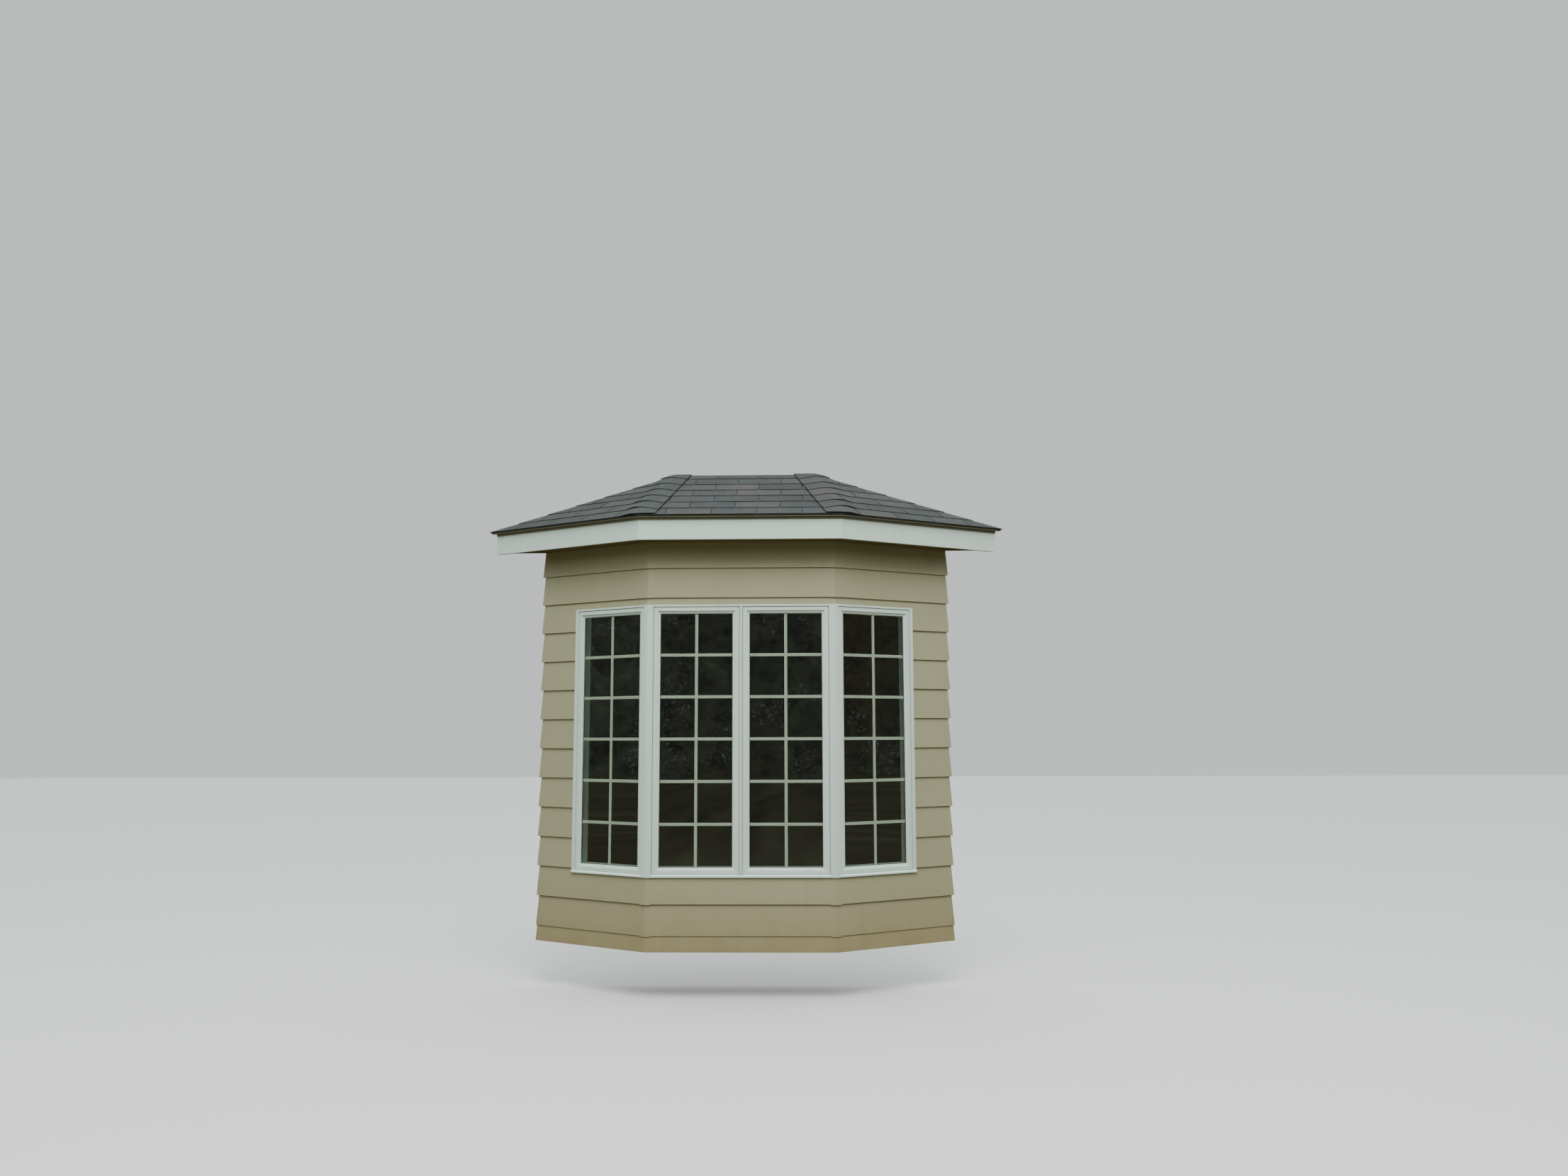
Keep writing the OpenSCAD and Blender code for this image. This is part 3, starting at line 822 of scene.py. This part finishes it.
sash_u = along_left("sash_left", SASH_INSET)
sash_w = sash_high.x - sash_low.x
stile_w, rail_w = pane_low.x + GLASS_BITE - sash_low.x, pane_low.z + GLASS_BITE - sash_low.z
LIGHTS = {
    "left": ("left", sash_u),
    "front_left": ("front", -sash_high.x),
    "front_right": ("front", sash_low.x),
    "right": ("right", sash_u),
}


def sash(light):
    side, u = LIGHTS[light]
    solids = member_loop(u, u + sash_w, sash_low.z, sash_high.z, stile_w - BEAD_W, rail_w - BEAD_W)
    return Shape(*solids).piece("casement_" + light, "window_white", window_white, side, ["sash_" + light])


sashes = [sash(light) for light in LIGHTS]
print(len(sashes), f"sashes {sash_w / MM:.0f} mm wide, stiles {stile_w / MM:.0f}, rails {rail_w / MM:.0f}")

# %% Straight boards, level and upright
def slab(u0, u1, inset0, inset1, z0, z1, radius=0.0):
    return lengthwise(rectangle(inset0, inset1, z0, z1, radius), u0, u1)


def post(u0, u1, inset0, inset1, z0, z1, radius=0.0):
    return upright(rectangle(u0, u1, inset0, inset1, radius), z0, z1)


def hollow_square(left, right, low, high, width, inset0, inset1):
    """Two level boards and two posts round an opening."""
    solids = [slab(left + width, right - width, inset0, inset1, z0, z1)
              for z0, z1 in ((low, low + width), (high - width, high))]
    return solids + [post(u0, u1, inset0, inset1, low, high)
                     for u0, u1 in ((left, left + width), (right - width, right))]


# %% Weather strip in the gap round each sash
SASH_GAP, STRIP_DEEP = 3 * MM, 5 * MM
strip_inset = SASH_INSET + REBATE_D + 0.5 * MM


def weather_strip(light):
    side, u = LIGHTS[light]
    solids = hollow_square(u - SASH_GAP, u + sash_w + SASH_GAP, sash_low.z - SASH_GAP, sash_high.z + SASH_GAP,
                           SASH_GAP, strip_inset, strip_inset + STRIP_DEEP)
    return Shape(*solids).piece("weather_strip_" + light, "window_white", strip_vinyl, side)


strips = [weather_strip(light) for light in LIGHTS]
print("Weather strips:", len(strips))

# %% [markdown]
# ## Sill noses
# Below the sashes the frame ends in a nose that stands out a little and slopes, so that rain runs
# off it. Its slope faces the sky, which makes it the brightest line of the whole window, and it
# throws a thin dark shadow on the siding. It hides the gap under the sash, too.

# %% Sill noses between the covers
NOSE_INSET = -3.5 * MM
light_foot, tongue_inset = sash_low.z - SASH_GAP, SASH_INSET - 0.6 * MM
nose_outline = [(FRAME_INSET, sill_z), (NOSE_INSET + MM, sill_z), (NOSE_INSET, sill_z + MM),
                (NOSE_INSET, light_foot - 6.5 * MM), (NOSE_INSET + 0.8 * MM, light_foot - 5.2 * MM),
                (tongue_inset, light_foot + 3 * MM), (tongue_inset, light_foot + 0.3 * MM),
                (FRAME_INSET, light_foot + 0.3 * MM)]


def sill_nose(side, u0, u1):
    shape = Shape(lengthwise(nose_outline, u0, u1))
    return shape.piece("sill_nose_" + side, "window_white", window_white, side)


cover_u, cover_x = along_left("corner_cover_left", COVER_INSET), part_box("corner_cover_right")[0].x
noses = [sill_nose("front", -cover_x, cover_x)]
noses += [sill_nose(side, side_strip, cover_u) for side in ("left", "right")]
print(len(noses), "sill noses", [round(2 * cover_x / MM), round((cover_u - side_strip) / MM)], "mm long")

# %% [markdown]
# ## Sill covers
# Indoors a casement has a raised sill behind its lower rail, which hides the gears that push the
# sash open. From outdoors its top shows through the glass as a pale band along the lower edge. It is
# a plain moulded block that fits between the stops of the frame.

# %% Raised sill behind each lower rail
STOP_W, FIT, COVER_ROUND = 10 * MM, 0.4 * MM, 3 * MM
room_in = frame_high.y + bay_depth


def sill_cover(light):
    side, u = LIGHTS[light]
    shape = Shape(slab(u + STOP_W + FIT, u + sash_w - STOP_W - FIT, sash_back + MM, room_in,
                       sash_low.z + STOP_W + FIT, pane_low.z + GLASS_BITE - MM, COVER_ROUND))
    return shape.piece("sill_cover_" + light, "window_white", window_white, side)


sill_covers = [sill_cover(light) for light in LIGHTS]
print("Sill covers:", len(sill_covers))

# %% [markdown]
# ## Sealed glass units
# Each unit is two panes with a hollow metal spacer round the edge, and the bars that seem to divide
# the glass are thin strips fixed in the gap between the panes. That is why they look flat, a little
# greenish, and stop at the edge of the glass. They are modelled where they really are, so the clear
# pane in front of them can catch the light.

# %% Panes, spacer and bars of one unit
PANE_T, SPACER_SIGHT, SEAL_T = 3 * MM, 3.5 * MM, 0.4 * MM
BAR_W, BAR_T, BAR_SOFT = 20 * MM, 5.5 * MM, 1.6 * MM
BARS_ACROSS = 5
air_front, air_back = glass_front + PANE_T, glass_back - PANE_T


def bars_of(left, right, low, high):
    """One upright bar, and level bars in two halves, inside the spacer."""
    ring, depth = GLASS_BITE + SPACER_SIGHT, [(air_front + air_back + t) / 2 for t in (-BAR_T, BAR_T)]
    middle, foot, top = (left + right) / 2, low + GLASS_BITE, high - GLASS_BITE
    bars = [post(middle - BAR_W / 2, middle + BAR_W / 2, *depth, low + ring, high - ring, BAR_SOFT)]
    for k in range(1, BARS_ACROSS + 1):
        z = foot + k * (top - foot) / (BARS_ACROSS + 1)
        for u0, u1 in ((left + ring, middle - BAR_W / 2), (middle + BAR_W / 2, right - ring)):
            bars.append(slab(u0, u1, *depth, z - BAR_W / 2, z + BAR_W / 2, BAR_SOFT))
    return bars


def glass_unit(light):
    side, u = LIGHTS[light]
    edges = (u + stile_w - GLASS_BITE, u + sash_w - stile_w + GLASS_BITE, pane_low.z, pane_high.z)
    outer, inner = (slab(*edges[:2], inset, inset + PANE_T, *edges[2:]) for inset in (glass_front, air_back))
    spacer = hollow_square(*edges, GLASS_BITE + SPACER_SIGHT, air_front + SEAL_T, air_back - SEAL_T)
    return [
        Shape(outer).piece("outer_pane_" + light, "glazing", clear_glass, side, ["glass_" + light]),
        # The inner pane's tint is painted shade for the room behind it.
        Shape(inner).piece("inner_pane_" + light, "glazing", room_shade_glass, side),
        Shape(*spacer).piece("spacer_" + light, "glazing", spacer_metal, side),
        Shape(*bars_of(*edges)).piece("glass_bars_" + light, "window_white", bar_finish, side),
    ]


units = [glass_unit(light) for light in LIGHTS]
print("Glass units:", len(units), "of", len(units[0]), "pieces each")

# %% [markdown]
# ## Fascia and drip strip
# A painted board closes the ends of the rafters, and a folded strip of sheet metal over it throws
# the roof's water clear. On the bay both turn the corners on the same mitres as the walls. The strip
# sits in the shade of the shingles, so it matters more as a dark line than as a shape.

# %% Boards at the eaves
ROOF_PITCH = 31.4
FASCIA_T, FASCIA_SOFT, FASCIA_WANDER = 19 * MM, 2 * MM, 0.2 * MM
FASCIA_STATIONS, FASCIA_SEED = 8, 3
fascia_low, fascia_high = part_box("fascia_front")
roof_low, roof_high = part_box("shingles_front")
deck_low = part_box("roof_deck")[0]
overhang, eave_out, deck_out = (-(low.y + bay_depth) for low in (fascia_low, roof_low, deck_low))
slope = math.radians(ROOF_PITCH)


def eave_board(side):
    """The board's top is cut to the slope, tight under the roof boarding."""
    back_top = fascia_high.z - MM
    front_top = back_top - FASCIA_T * math.tan(slope)
    section = soften([(-overhang, fascia_low.z), (FASCIA_T - overhang, fascia_low.z),
                      (FASCIA_T - overhang, back_top), (-overhang, front_top)], FASCIA_SOFT)
    shape = Shape(run(side, section, FASCIA_STATIONS, wander(FASCIA_SEED + len(side), FASCIA_WANDER)))
    return shape.piece("fascia_board_" + side, "fascia", fascia_paint, side, ["fascia_" + side])


eave_boards = [eave_board(side) for side in PLACE]
print(len(eave_boards), "fascia boards", round(overhang / MM), "mm out, shingles", round(eave_out / MM), "mm")

# %% Drip strip over the fascia
DRIP_H, DRIP_T, DRIP_PROUD = 15 * MM, 1 * MM, 2.5 * MM
KICK_H, KICK_OUT, DRIP_WANDER = 3 * MM, 2 * MM, 0.1 * MM
DRIP_STATIONS, DRIP_SEED = 6, 9


def drip_strip(side):
    """Folded sheet metal: over the edge of the roof boarding, back under it, and down the fascia."""
    edge, face = -deck_out - DRIP_T, -overhang - DRIP_PROUD
    top = roof_low.z + (eave_out - deck_out) * math.tan(slope)
    under = deck_low.z - DRIP_T
    foot = under - DRIP_H
    outside = [(edge, top), (edge, under), (face, under), (face, foot + KICK_H), (face - KICK_OUT, foot)]
    back, fold = face + DRIP_T, DRIP_T / 2
    inside = [(face - KICK_OUT + 0.8 * DRIP_T, foot - fold), (back, foot + KICK_H - 0.4 * DRIP_T),
              (back, under + fold), (edge + fold, under + fold), (edge + fold, top)]
    shape = Shape(run(side, outside + inside, DRIP_STATIONS, wander(DRIP_SEED + len(side), DRIP_WANDER)))
    return shape.piece("drip_strip_" + side, "corner_cap", drip_metal, side)


drip_strips = [drip_strip(side) for side in PLACE]
print("Drip strips:", len(drip_strips))

# %% [markdown]
# ## The shape of the roof
# All three slopes have one pitch, so a level line on a side slope meets the hip at the same angle as
# one on the front. Shingles are felt: near a hip they bend over it and run on, flat, on the other
# slope. So the side slope and its strip of the front are treated as one sheet laid out flat, with
# (t, s) as the distance from the front corner along the eave and the distance up the slope. A small
# function folds that sheet over the hip again. The same trick serves for cloth or a paper box.

# %% Fold the side slope over its hip
FOLD_WIDTH = 28 * MM
eave_corner = roof_low.copy()
hip_top = Vector((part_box("shingles_left")[1].x, 0, roof_low.z - roof_low.y * math.tan(slope)))
hip = (hip_top - eave_corner).normalized()
hip_len = (hip_top - eave_corner).length
slope_len = -roof_low.y / math.cos(slope)
hip_angle = math.asin(slope_len / hip_len)
hip_cos, hip_sin = math.cos(hip_angle), math.sin(hip_angle)
front_normal = Vector((0, -math.sin(slope), math.cos(slope)))
side_normal = Vector((-math.sin(cant) * math.sin(slope), -math.cos(cant) * math.sin(slope), math.cos(slope)))
to_front = hip.cross(front_normal).normalized()
to_side = side_normal.cross(hip).normalized()


def up_and_across(t, s):
    """From the flat sheet: distance up the hip, and distance from it, positive on the front."""
    return t * hip_cos + s * hip_sin, s * hip_cos - t * hip_sin


def spot_on_side(t, s, height):
    up, across = up_and_across(t, s)
    bent = math.hypot(across, FOLD_WIDTH)
    on_front, on_side = (bent + across) / 2, (bent - across) / 2
    normal = (front_normal * on_front + side_normal * on_side).normalized()
    return eave_corner + hip * up + to_front * on_front + to_side * on_side + normal * height


def spot_on_front(t, s, height):
    """Here t is simply the world x."""
    base = Vector((t, roof_low.y + s * math.cos(slope), roof_low.z + s * math.sin(slope)))
    return base + front_normal * height


print(f"hip {hip_len:.3f} m long, {math.degrees(hip_angle):.1f} degrees from the eaves")
print("to the front:", [round(x, 3) for x in to_front], "to the side:", [round(x, 3) for x in to_side])

# %% [markdown]
# ## Shingles
# A three-tab shingle is a strip of felt with slots cut in its lower half, so one strip looks like
# three tiles. The strips overlap, and each row starts half a tab further on, so the slots never
# line up. Only the lower part, the exposure, stays in view. Each tab is made as a small sheet of its
# own, higher at its butt, where it rests on the row below. The tabs are cut to the slope with the
# classic clip of a polygon by one straight line after another: the wall, the eave, and the line
# where the roofer cut the side's shingles that had been bent over the hip.

# %% Sizes of the shingles
TAB_W, SLOT_W = 305 * MM, 8 * MM
FRONT_ROW, SIDE_ROW = 117.5 * MM, 121 * MM
TAB_T, BUTT_TOP, TAIL_TOP, CURL = 3.6 * MM, 7.4 * MM, 3.3 * MM, 0.7 * MM
TAIL, CELL, EAVE_SETBACK = 12 * MM, 26 * MM, 6.5 * MM
START_SLIP, FOOT_SLIP = 6.0, 3.0  # in millimetres, drawn at random
# Where the slots of the first row begin and end along the eave, and the seed of each slope.
REACH = {"front": (-0.801, 0.8), "left": (-0.42, 1.45), "right": (-0.46, 1.45)}
SEEDS = {"front": 11, "left": 12, "right": 17}


# %% Clip a polygon
def clip(polygon, inside):
    """Keeps the part of a polygon where a linear function of (t, s) isn't negative."""
    kept = []
    for i, point in enumerate(polygon):
        before = polygon[i - 1]
        a, b = inside(*before), inside(*point)
        if (a < 0) != (b < 0):
            kept.append(tuple(p + (q - p) * (a / (a - b)) for p, q in zip(before, point)))
        if b >= 0:
            kept.append(point)
    return kept


# %% The cut line over the hip, and the limits of each slope
CUTS = {"left": (118 * MM, 116 * MM), "right": (102 * MM, 146 * MM)}
TUCK, WRAP_SETBACK = 25 * MM, 10.5 * MM


def cut_room(side, up, across):
    """How far a point on the front still lies inside the strip that belongs to a side."""
    at_eave, at_top = CUTS[side]
    return at_eave + (at_top - at_eave) * up / hip_len - across


def beside_strip(side, x, s):
    """How far a point on the front slope, seen from its left corner, lies outside that strip."""
    up, across = up_and_across(x - eave_corner.x, s)
    return TUCK - cut_room(side, up, -across)


def before_wall(away, t, s):
    """How far the sheet is from the wall on the slope that lies this way from the hip."""
    up, across = up_and_across(t, s)
    return -(eave_corner.y + hip.y * up + away.y * across)


def limits_of(side):
    if side == "front":
        return [
            lambda x, s: slope_len - s,
            lambda x, s: beside_strip("left", x, s),
            lambda x, s: beside_strip("right", -x, s),
        ]
    return [
        lambda t, s: before_wall(-to_side, t, s),
        lambda t, s: before_wall(to_front, t, s),
        lambda t, s: t * math.sin(2 * hip_angle) - s * math.cos(2 * hip_angle) - WRAP_SETBACK,
        lambda t, s: cut_room(side, *up_and_across(t, s)),
    ]


# %% How the felt stands off the hip
HIP_LAYERS, HIP_FROM, HIP_TO = 11 * MM, -170 * MM, -40 * MM
LIFT, LIFT_AT, LIFT_WIDE = 6 * MM, -75 * MM, 60 * MM
LOOSE_AT, LOOSE_WIDE, FIRST_ROW = 160 * MM, 250 * MM, 60 * MM
FIRST_LOOSE, LEAST_LOOSE = 0.2, 0.25
UNDER_FOLLOWS, WHOLE_OVER_HIP = 0.8, -60 * MM


def hip_swell(t, s, rise):
    """Over the hip the felt lies on the front's courses, and the butts of the low rows spring up."""
    across = up_and_across(t, s)[1]
    share = min(1.0, max(0.0, (across - HIP_FROM) / (HIP_TO - HIP_FROM)))
    layers = HIP_LAYERS * share * share * (3 - 2 * share)
    loose = max(LEAST_LOOSE, 1 - abs(s - LOOSE_AT) / LOOSE_WIDE) if s > FIRST_ROW else FIRST_LOOSE
    lift = LIFT * loose * math.exp(-((across - LIFT_AT) / LIFT_WIDE) ** 2) * (1 - rise)
    return layers, lift


def has_slot(side, t, s):
    """A shingle that wraps the hip is left whole."""
    return side == "front" or up_and_across(t, s)[1] < WHOLE_OVER_HIP


# %% One tab
def cells_of_tab(t0, t1, foot, length, limits):
    """A grid cut to its limits: each corner's number, and the corners of each cell."""
    across, rows = max(2, round((t1 - t0) / CELL)), round(length / CELL)
    corners, cells = {}, []
    for i in range(across):
        for k in range(rows):
            ta, tb = (t0 + (t1 - t0) * (i + d) / across for d in (0, 1))
            sa, sb = (foot + length * (k + d) / rows for d in (0, 1))
            cell = [(ta, sa), (tb, sa), (tb, sb), (ta, sb)]
            for limit in limits:
                cell = clip(cell, limit)
            keys = [(round(t, 6), round(s, 6)) for t, s in cell]
            ids = list(dict.fromkeys(corners.setdefault(key, len(corners)) for key in keys))
            if len(ids) > 2:
                cells.append(tuple(ids))
    return corners, cells


def lay_tab(shape, side, limits, t0, t1, foot, row_h, tone):
    """A thin sheet from t0 to t1, cut and draped. Gives 1 for each face that is cut asphalt, else 0."""
    corners, cells = cells_of_tab(t0, t1, foot, row_h + TAIL, limits)
    if not cells:
        return []
    spot = spot_on_front if side == "front" else spot_on_side
    top, under = [], []
    for t, s in corners:
        rise = min(1.0, (s - foot) / row_h)
        curl = CURL * noise.noise(Vector((t * 9, foot * 31, 0.2))) * (1 - rise)
        layers, lift = (0.0, 0.0) if side == "front" else hip_swell(t, s, rise)
        height = BUTT_TOP + (TAIL_TOP - BUTT_TOP) * rise + curl + layers + lift
        top.append(spot(t, s, height))
        under.append(spot(t, s, height - TAB_T - UNDER_FOLLOWS * layers))
    for point in top + under:
        point.z, point.y = min(point.z, roof_high.z), min(point.y, 0.0)
    n = len(top)
    edges = {(c[i - 1], c[i]) for c in cells for i in range(len(c))}
    faces = cells + [tuple(n + i for i in reversed(c)) for c in cells]
    faces += [(b, a, n + a, n + b) for a, b in edges if (b, a) not in edges]
    shape.add(*outward(top + under, faces), tone)
    return [0] * len(cells) + [1] * (len(faces) - len(cells))


# %% The rows of a slope
def lay_rows(side):
    """Rows of tabs from the eave to the wall, granules on top and bare asphalt at every cut edge."""
    shape, draw, cut_edge, limits = Shape(), random.Random(SEEDS[side]), [], limits_of(side)
    row_h, (first, last) = FRONT_ROW if side == "front" else SIDE_ROW, REACH[side]
    for row in range(math.ceil(slope_len / row_h)):
        foot = EAVE_SETBACK + row * row_h
        start = first + (row % 2) * TAB_W / 2 + draw.uniform(-START_SLIP, START_SLIP) * MM
        slots = [start + i * TAB_W for i in range(math.ceil((last - start) / TAB_W) + 1)]
        slots = slots[:1] + [t for t in slots[1:] if has_slot(side, t, foot + row_h / 2)]
        for t0, t1 in zip(slots, slots[1:]):
            tab_foot = foot + (draw.uniform(0, FOOT_SLIP) * MM if row else 0.0)
            ends = t0 + SLOT_W / 2, t1 - SLOT_W / 2
            cut_edge += lay_tab(shape, side, limits, *ends, tab_foot, row_h, draw.random())
    if side == "right":
        shape.points = [(-x, y, z) for x, y, z in shape.points]
        shape.faces = turned(shape.faces)
    piece = shape.piece("shingle_tabs_" + side, "shingles", shingle_finish, None, ["shingles_" + side])
    piece.data.materials.append(asphalt_edge)
    piece.data.polygons.foreach_set("material_index", cut_edge)
    return piece


slopes = [lay_rows(side) for side in PLACE]
print("Shingles:", [f"{s.name} {len(s.data.polygons)} faces" for s in slopes])

# %% The felt under the tabs
BASE_LOW, BASE_HIGH, BASE_SETBACK = 0.2 * MM, 3.0 * MM, 3 * MM
# The felt's low tone darkens it further, as painted shade in the slots.
WALL_GAP, SLOT_SHADE_TONE = 12 * MM, 0.2


def side_spot(flip, t, s, height):
    """A point of a side slope, up to the hip and no further."""
    up, across = up_and_across(t, s)
    p = eave_corner + hip * up - to_side * across + side_normal * height
    return p.x * flip, min(p.y, 0.0), p.z


def base_sheet():
    """One solid for each slope, which shows only through the slots and at the eaves."""
    foot, top, lean = BASE_SETBACK, slope_len - MM, hip_cos / hip_sin
    half, wall_corner = -eave_corner.x, -eave_corner.y / math.sin(cant)
    shape, heights = Shape(), (BASE_LOW, BASE_HIGH)
    front = [(foot * lean - half, foot), (half - foot * lean, foot), (half - top * lean, top),
             (top * lean - half, top)]
    shape.add(*loft([[spot_on_front(x, s, h) for x, s in front] for h in heights]), SLOT_SHADE_TONE)
    side = [(foot * lean, foot), (wall_corner - WALL_GAP, foot), (top * lean, top)]
    for flip in (1, -1):
        shape.add(*loft([[side_spot(flip, t, s, h) for t, s in side] for h in heights]), SLOT_SHADE_TONE)
    return shape.piece("roof_felt", "shingles", slot_felt_and_painted_shade)


felt = base_sheet()
print("Felt:", len(felt.data.polygons), "faces")

# %% [markdown]
# ## Finishes for the framing
# The frame's own parts stay where they are, with their own meshes. They only need a finish, and
# each piece of wood needs its grain along its own length: level boards, slanted boards, the
# rafters that run out from the wall, and the upright posts.

# %% Give each carried-over part its material
FINISHES = {
    wood_level: ["floor_ledger", "floor_rim_front", "knee_wall_front", "head_wall_front", "roof_ledger"],
    wood_left: ["floor_rim_left", "knee_wall_left", "head_wall_left"],
    wood_right: ["floor_rim_right", "knee_wall_right", "head_wall_right"],
    wood_inward: ["rafters", "hip_rafters", "ceiling_joists"],
    wood_upright: ["wall_post_left", "wall_post_right"],
    plywood: ["floor_deck", "underside_panel", "roof_deck"],
    window_white: ["window_frame_front", "window_frame_left", "window_frame_right"],
    plaster_paint: ["wall_lining", "ceiling"],
    joinery_paint: ["window_stool", "window_casing"],
    # The soffit's darker colour is painted shade under the eaves.
    soffit_tan_and_painted_shade: ["soffit"],
}
for finish, names in FINISHES.items():
    for name in names:
        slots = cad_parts[name].data.materials
        slots.clear()
        slots.append(finish)
print("Finished", sum(len(names) for names in FINISHES.values()), "parts of the frame")

# %% [markdown]
# ## Floor and light
# The photograph was taken under an overcast sky, which is one huge soft lamp. It is brightest
# overhead and dark along the horizon, and little of it comes back up from below. That is why
# the eaves, the laps and the tops of the window frames carry strong dark lines. An area lamp or two
# can't copy this, so the world itself is the lamp. The camera sees a plain pale backdrop and a plain
# pale floor instead: Light Path tells the rays of the camera from all others.
# The glass needs something to mirror too, so the dark horizon is mottled and lets specks of sky
# through. Behind the plane of the wall both the sky's foot and the floor are as dim as the room that
# the bay opens into, which makes the panes look as dark as glass does by day. One wide lamp, high in
# front, only helps the sky a little.

# %% Floor
FLOOR_DROP, FLOOR_HALF = 0.30, 40.0
BACKDROP, PALE_FLOOR = colour(222, 225, 226), colour(226, 226, 222)
NEAR_FLOOR, ROOM_FLOOR = colour(88, 79, 58), colour(30, 28, 25)
FAR_FLOOR, FAR_FLOOR_DARK = colour(121, 119, 97), colour(67, 65, 52)
FAR_FROM, ROOM_FROM, PATCH_STRETCH = (-3.0, -5.0), (0.0, 0.4), (1.5, 0.15, 1.0)


def seen_and_felt(tree, seen, felt):
    """A colour for the camera's own rays, and another for every ray that carries light."""
    return blend(tree, wire(tree, "LightPath", output="Is Camera Ray"), felt, seen)


def studio_floor():
    mesh, z = bpy.data.meshes.new("floor"), foot_z - FLOOR_DROP
    corners = [(x * FLOOR_HALF, y * FLOOR_HALF, z) for x, y in ((-1, -1), (1, -1), (1, 1), (-1, 1))]
    mesh.from_pydata(corners, [], [(0, 1, 2, 3)])
    floor = bpy.data.objects.new("studio_floor", mesh)
    bpy.context.scene.collection.objects.link(floor)
    material, tree, shader = start_material("studio floor", Roughness=0.9, Specular_IOR_Level=0.0)
    place = wire(tree, "NewGeometry", output="Position")
    inward = one_axis(tree, place, "Y")
    stretched = wire(tree, "VectorMath", {0: place, 1: PATCH_STRETCH}, operation="MULTIPLY")
    patches = remap(tree, noisy(tree, stretched, 1.0, 4.0, 0.6), 0.25, 0.75)
    far = blend(tree, patches, FAR_FLOOR, FAR_FLOOR_DARK)
    outdoors = blend(tree, remap(tree, inward, *FAR_FROM), NEAR_FLOOR, far)
    felt = blend(tree, remap(tree, inward, *ROOM_FROM), outdoors, ROOM_FLOOR)
    feed(tree, shader.inputs["Base Color"], seen_and_felt(tree, PALE_FLOOR, felt))
    mesh.materials.append(material)
    floor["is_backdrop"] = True
    return floor


floor = studio_floor()
print("Floor laid", FLOOR_DROP, "m below the bay")

# %% Overcast sky over a dark, mottled horizon
MOTTLE_DARK, MOTTLE_LIGHT = (0.057, 0.063, 0.051, 1.0), (0.24, 0.27, 0.20, 1.0)
RUSSET, ROOM_DARK = (0.19, 0.15, 0.08, 1.0), (0.010, 0.010, 0.009, 1.0)
LOW_SKY, HIGH_SKY = (0.70, 0.75, 0.77, 1.0), (1.75, 1.83, 1.92, 1.0)


def build_sky():
    world = bpy.data.worlds.new("overcast")
    world.use_nodes = True
    tree = world.node_tree
    way = wire(tree, "TexCoord", output="Generated")
    up, inward = one_axis(tree, way, "Z"), one_axis(tree, way, "Y")
    sky = blend(tree, remap(tree, up, 0.2, 1.0), LOW_SKY, HIGH_SKY)
    edge = compute(tree, "ADD", up, swing(tree, noisy(tree, way, 4.0, 5.0, 0.6), 0.45))
    warm = remap(tree, noisy(tree, way, 3.0, 2.0), 0.52, 0.66)
    clumps = remap(tree, noisy(tree, way, 60.0, 6.0, 0.8), 0.36, 0.68)
    dark = blend(tree, clumps, MOTTLE_DARK, blend(tree, warm, MOTTLE_LIGHT, RUSSET))
    thin = remap(tree, noisy(tree, way, 24.0, 3.0, 0.6), 0.48, 0.58)
    specks = remap(tree, noisy(tree, way, 420.0, 2.0, 0.6), 0.57, 0.68, 0.0, 0.5)
    dark = blend(tree, times(tree, thin, specks), dark, LOW_SKY)
    room = times(tree, remap(tree, inward, -0.02, 0.1), remap(tree, up, 0.25, 0.35, 1.0, 0.0))
    lit = blend(tree, room, blend(tree, remap(tree, edge, 0.16, 0.30), dark, sky), ROOM_DARK)
    background = tree.nodes["Background"]
    feed(tree, background.inputs["Color"], seen_and_felt(tree, BACKDROP, lit))
    background.inputs["Strength"].default_value = 1.0
    bpy.context.scene.world = world


build_sky()

# %% One soft lamp high in front
LAMP_AT, LAMP_AIM = Vector((0.6, -5.5, 9.0)), Vector((0.0, -0.3, 1.4))
LAMP_SIZE, LAMP_WATTS = 6.0, 600

lamp = bpy.data.objects.new("high_soft_lamp", bpy.data.lights.new("high_soft_lamp", "AREA"))
lamp.data.shape, lamp.data.size, lamp.data.energy = "DISK", LAMP_SIZE, LAMP_WATTS
lamp.location = LAMP_AT
lamp.rotation_euler = (LAMP_AIM - LAMP_AT).to_track_quat("-Z", "Y").to_euler()
bpy.context.scene.collection.objects.link(lamp)
print("Sky and", lamp.name, "are lit")

# %% Compare the sizes and finish
dressed_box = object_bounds()
for i, axis in enumerate("xyz"):
    low = (dressed_box[0][i] - cad_box[0][i]) / MM
    high = (dressed_box[1][i] - cad_box[1][i]) / MM
    print(f"{axis}: low side {low:+.1f} mm, high side {high:+.1f} mm against the frame")
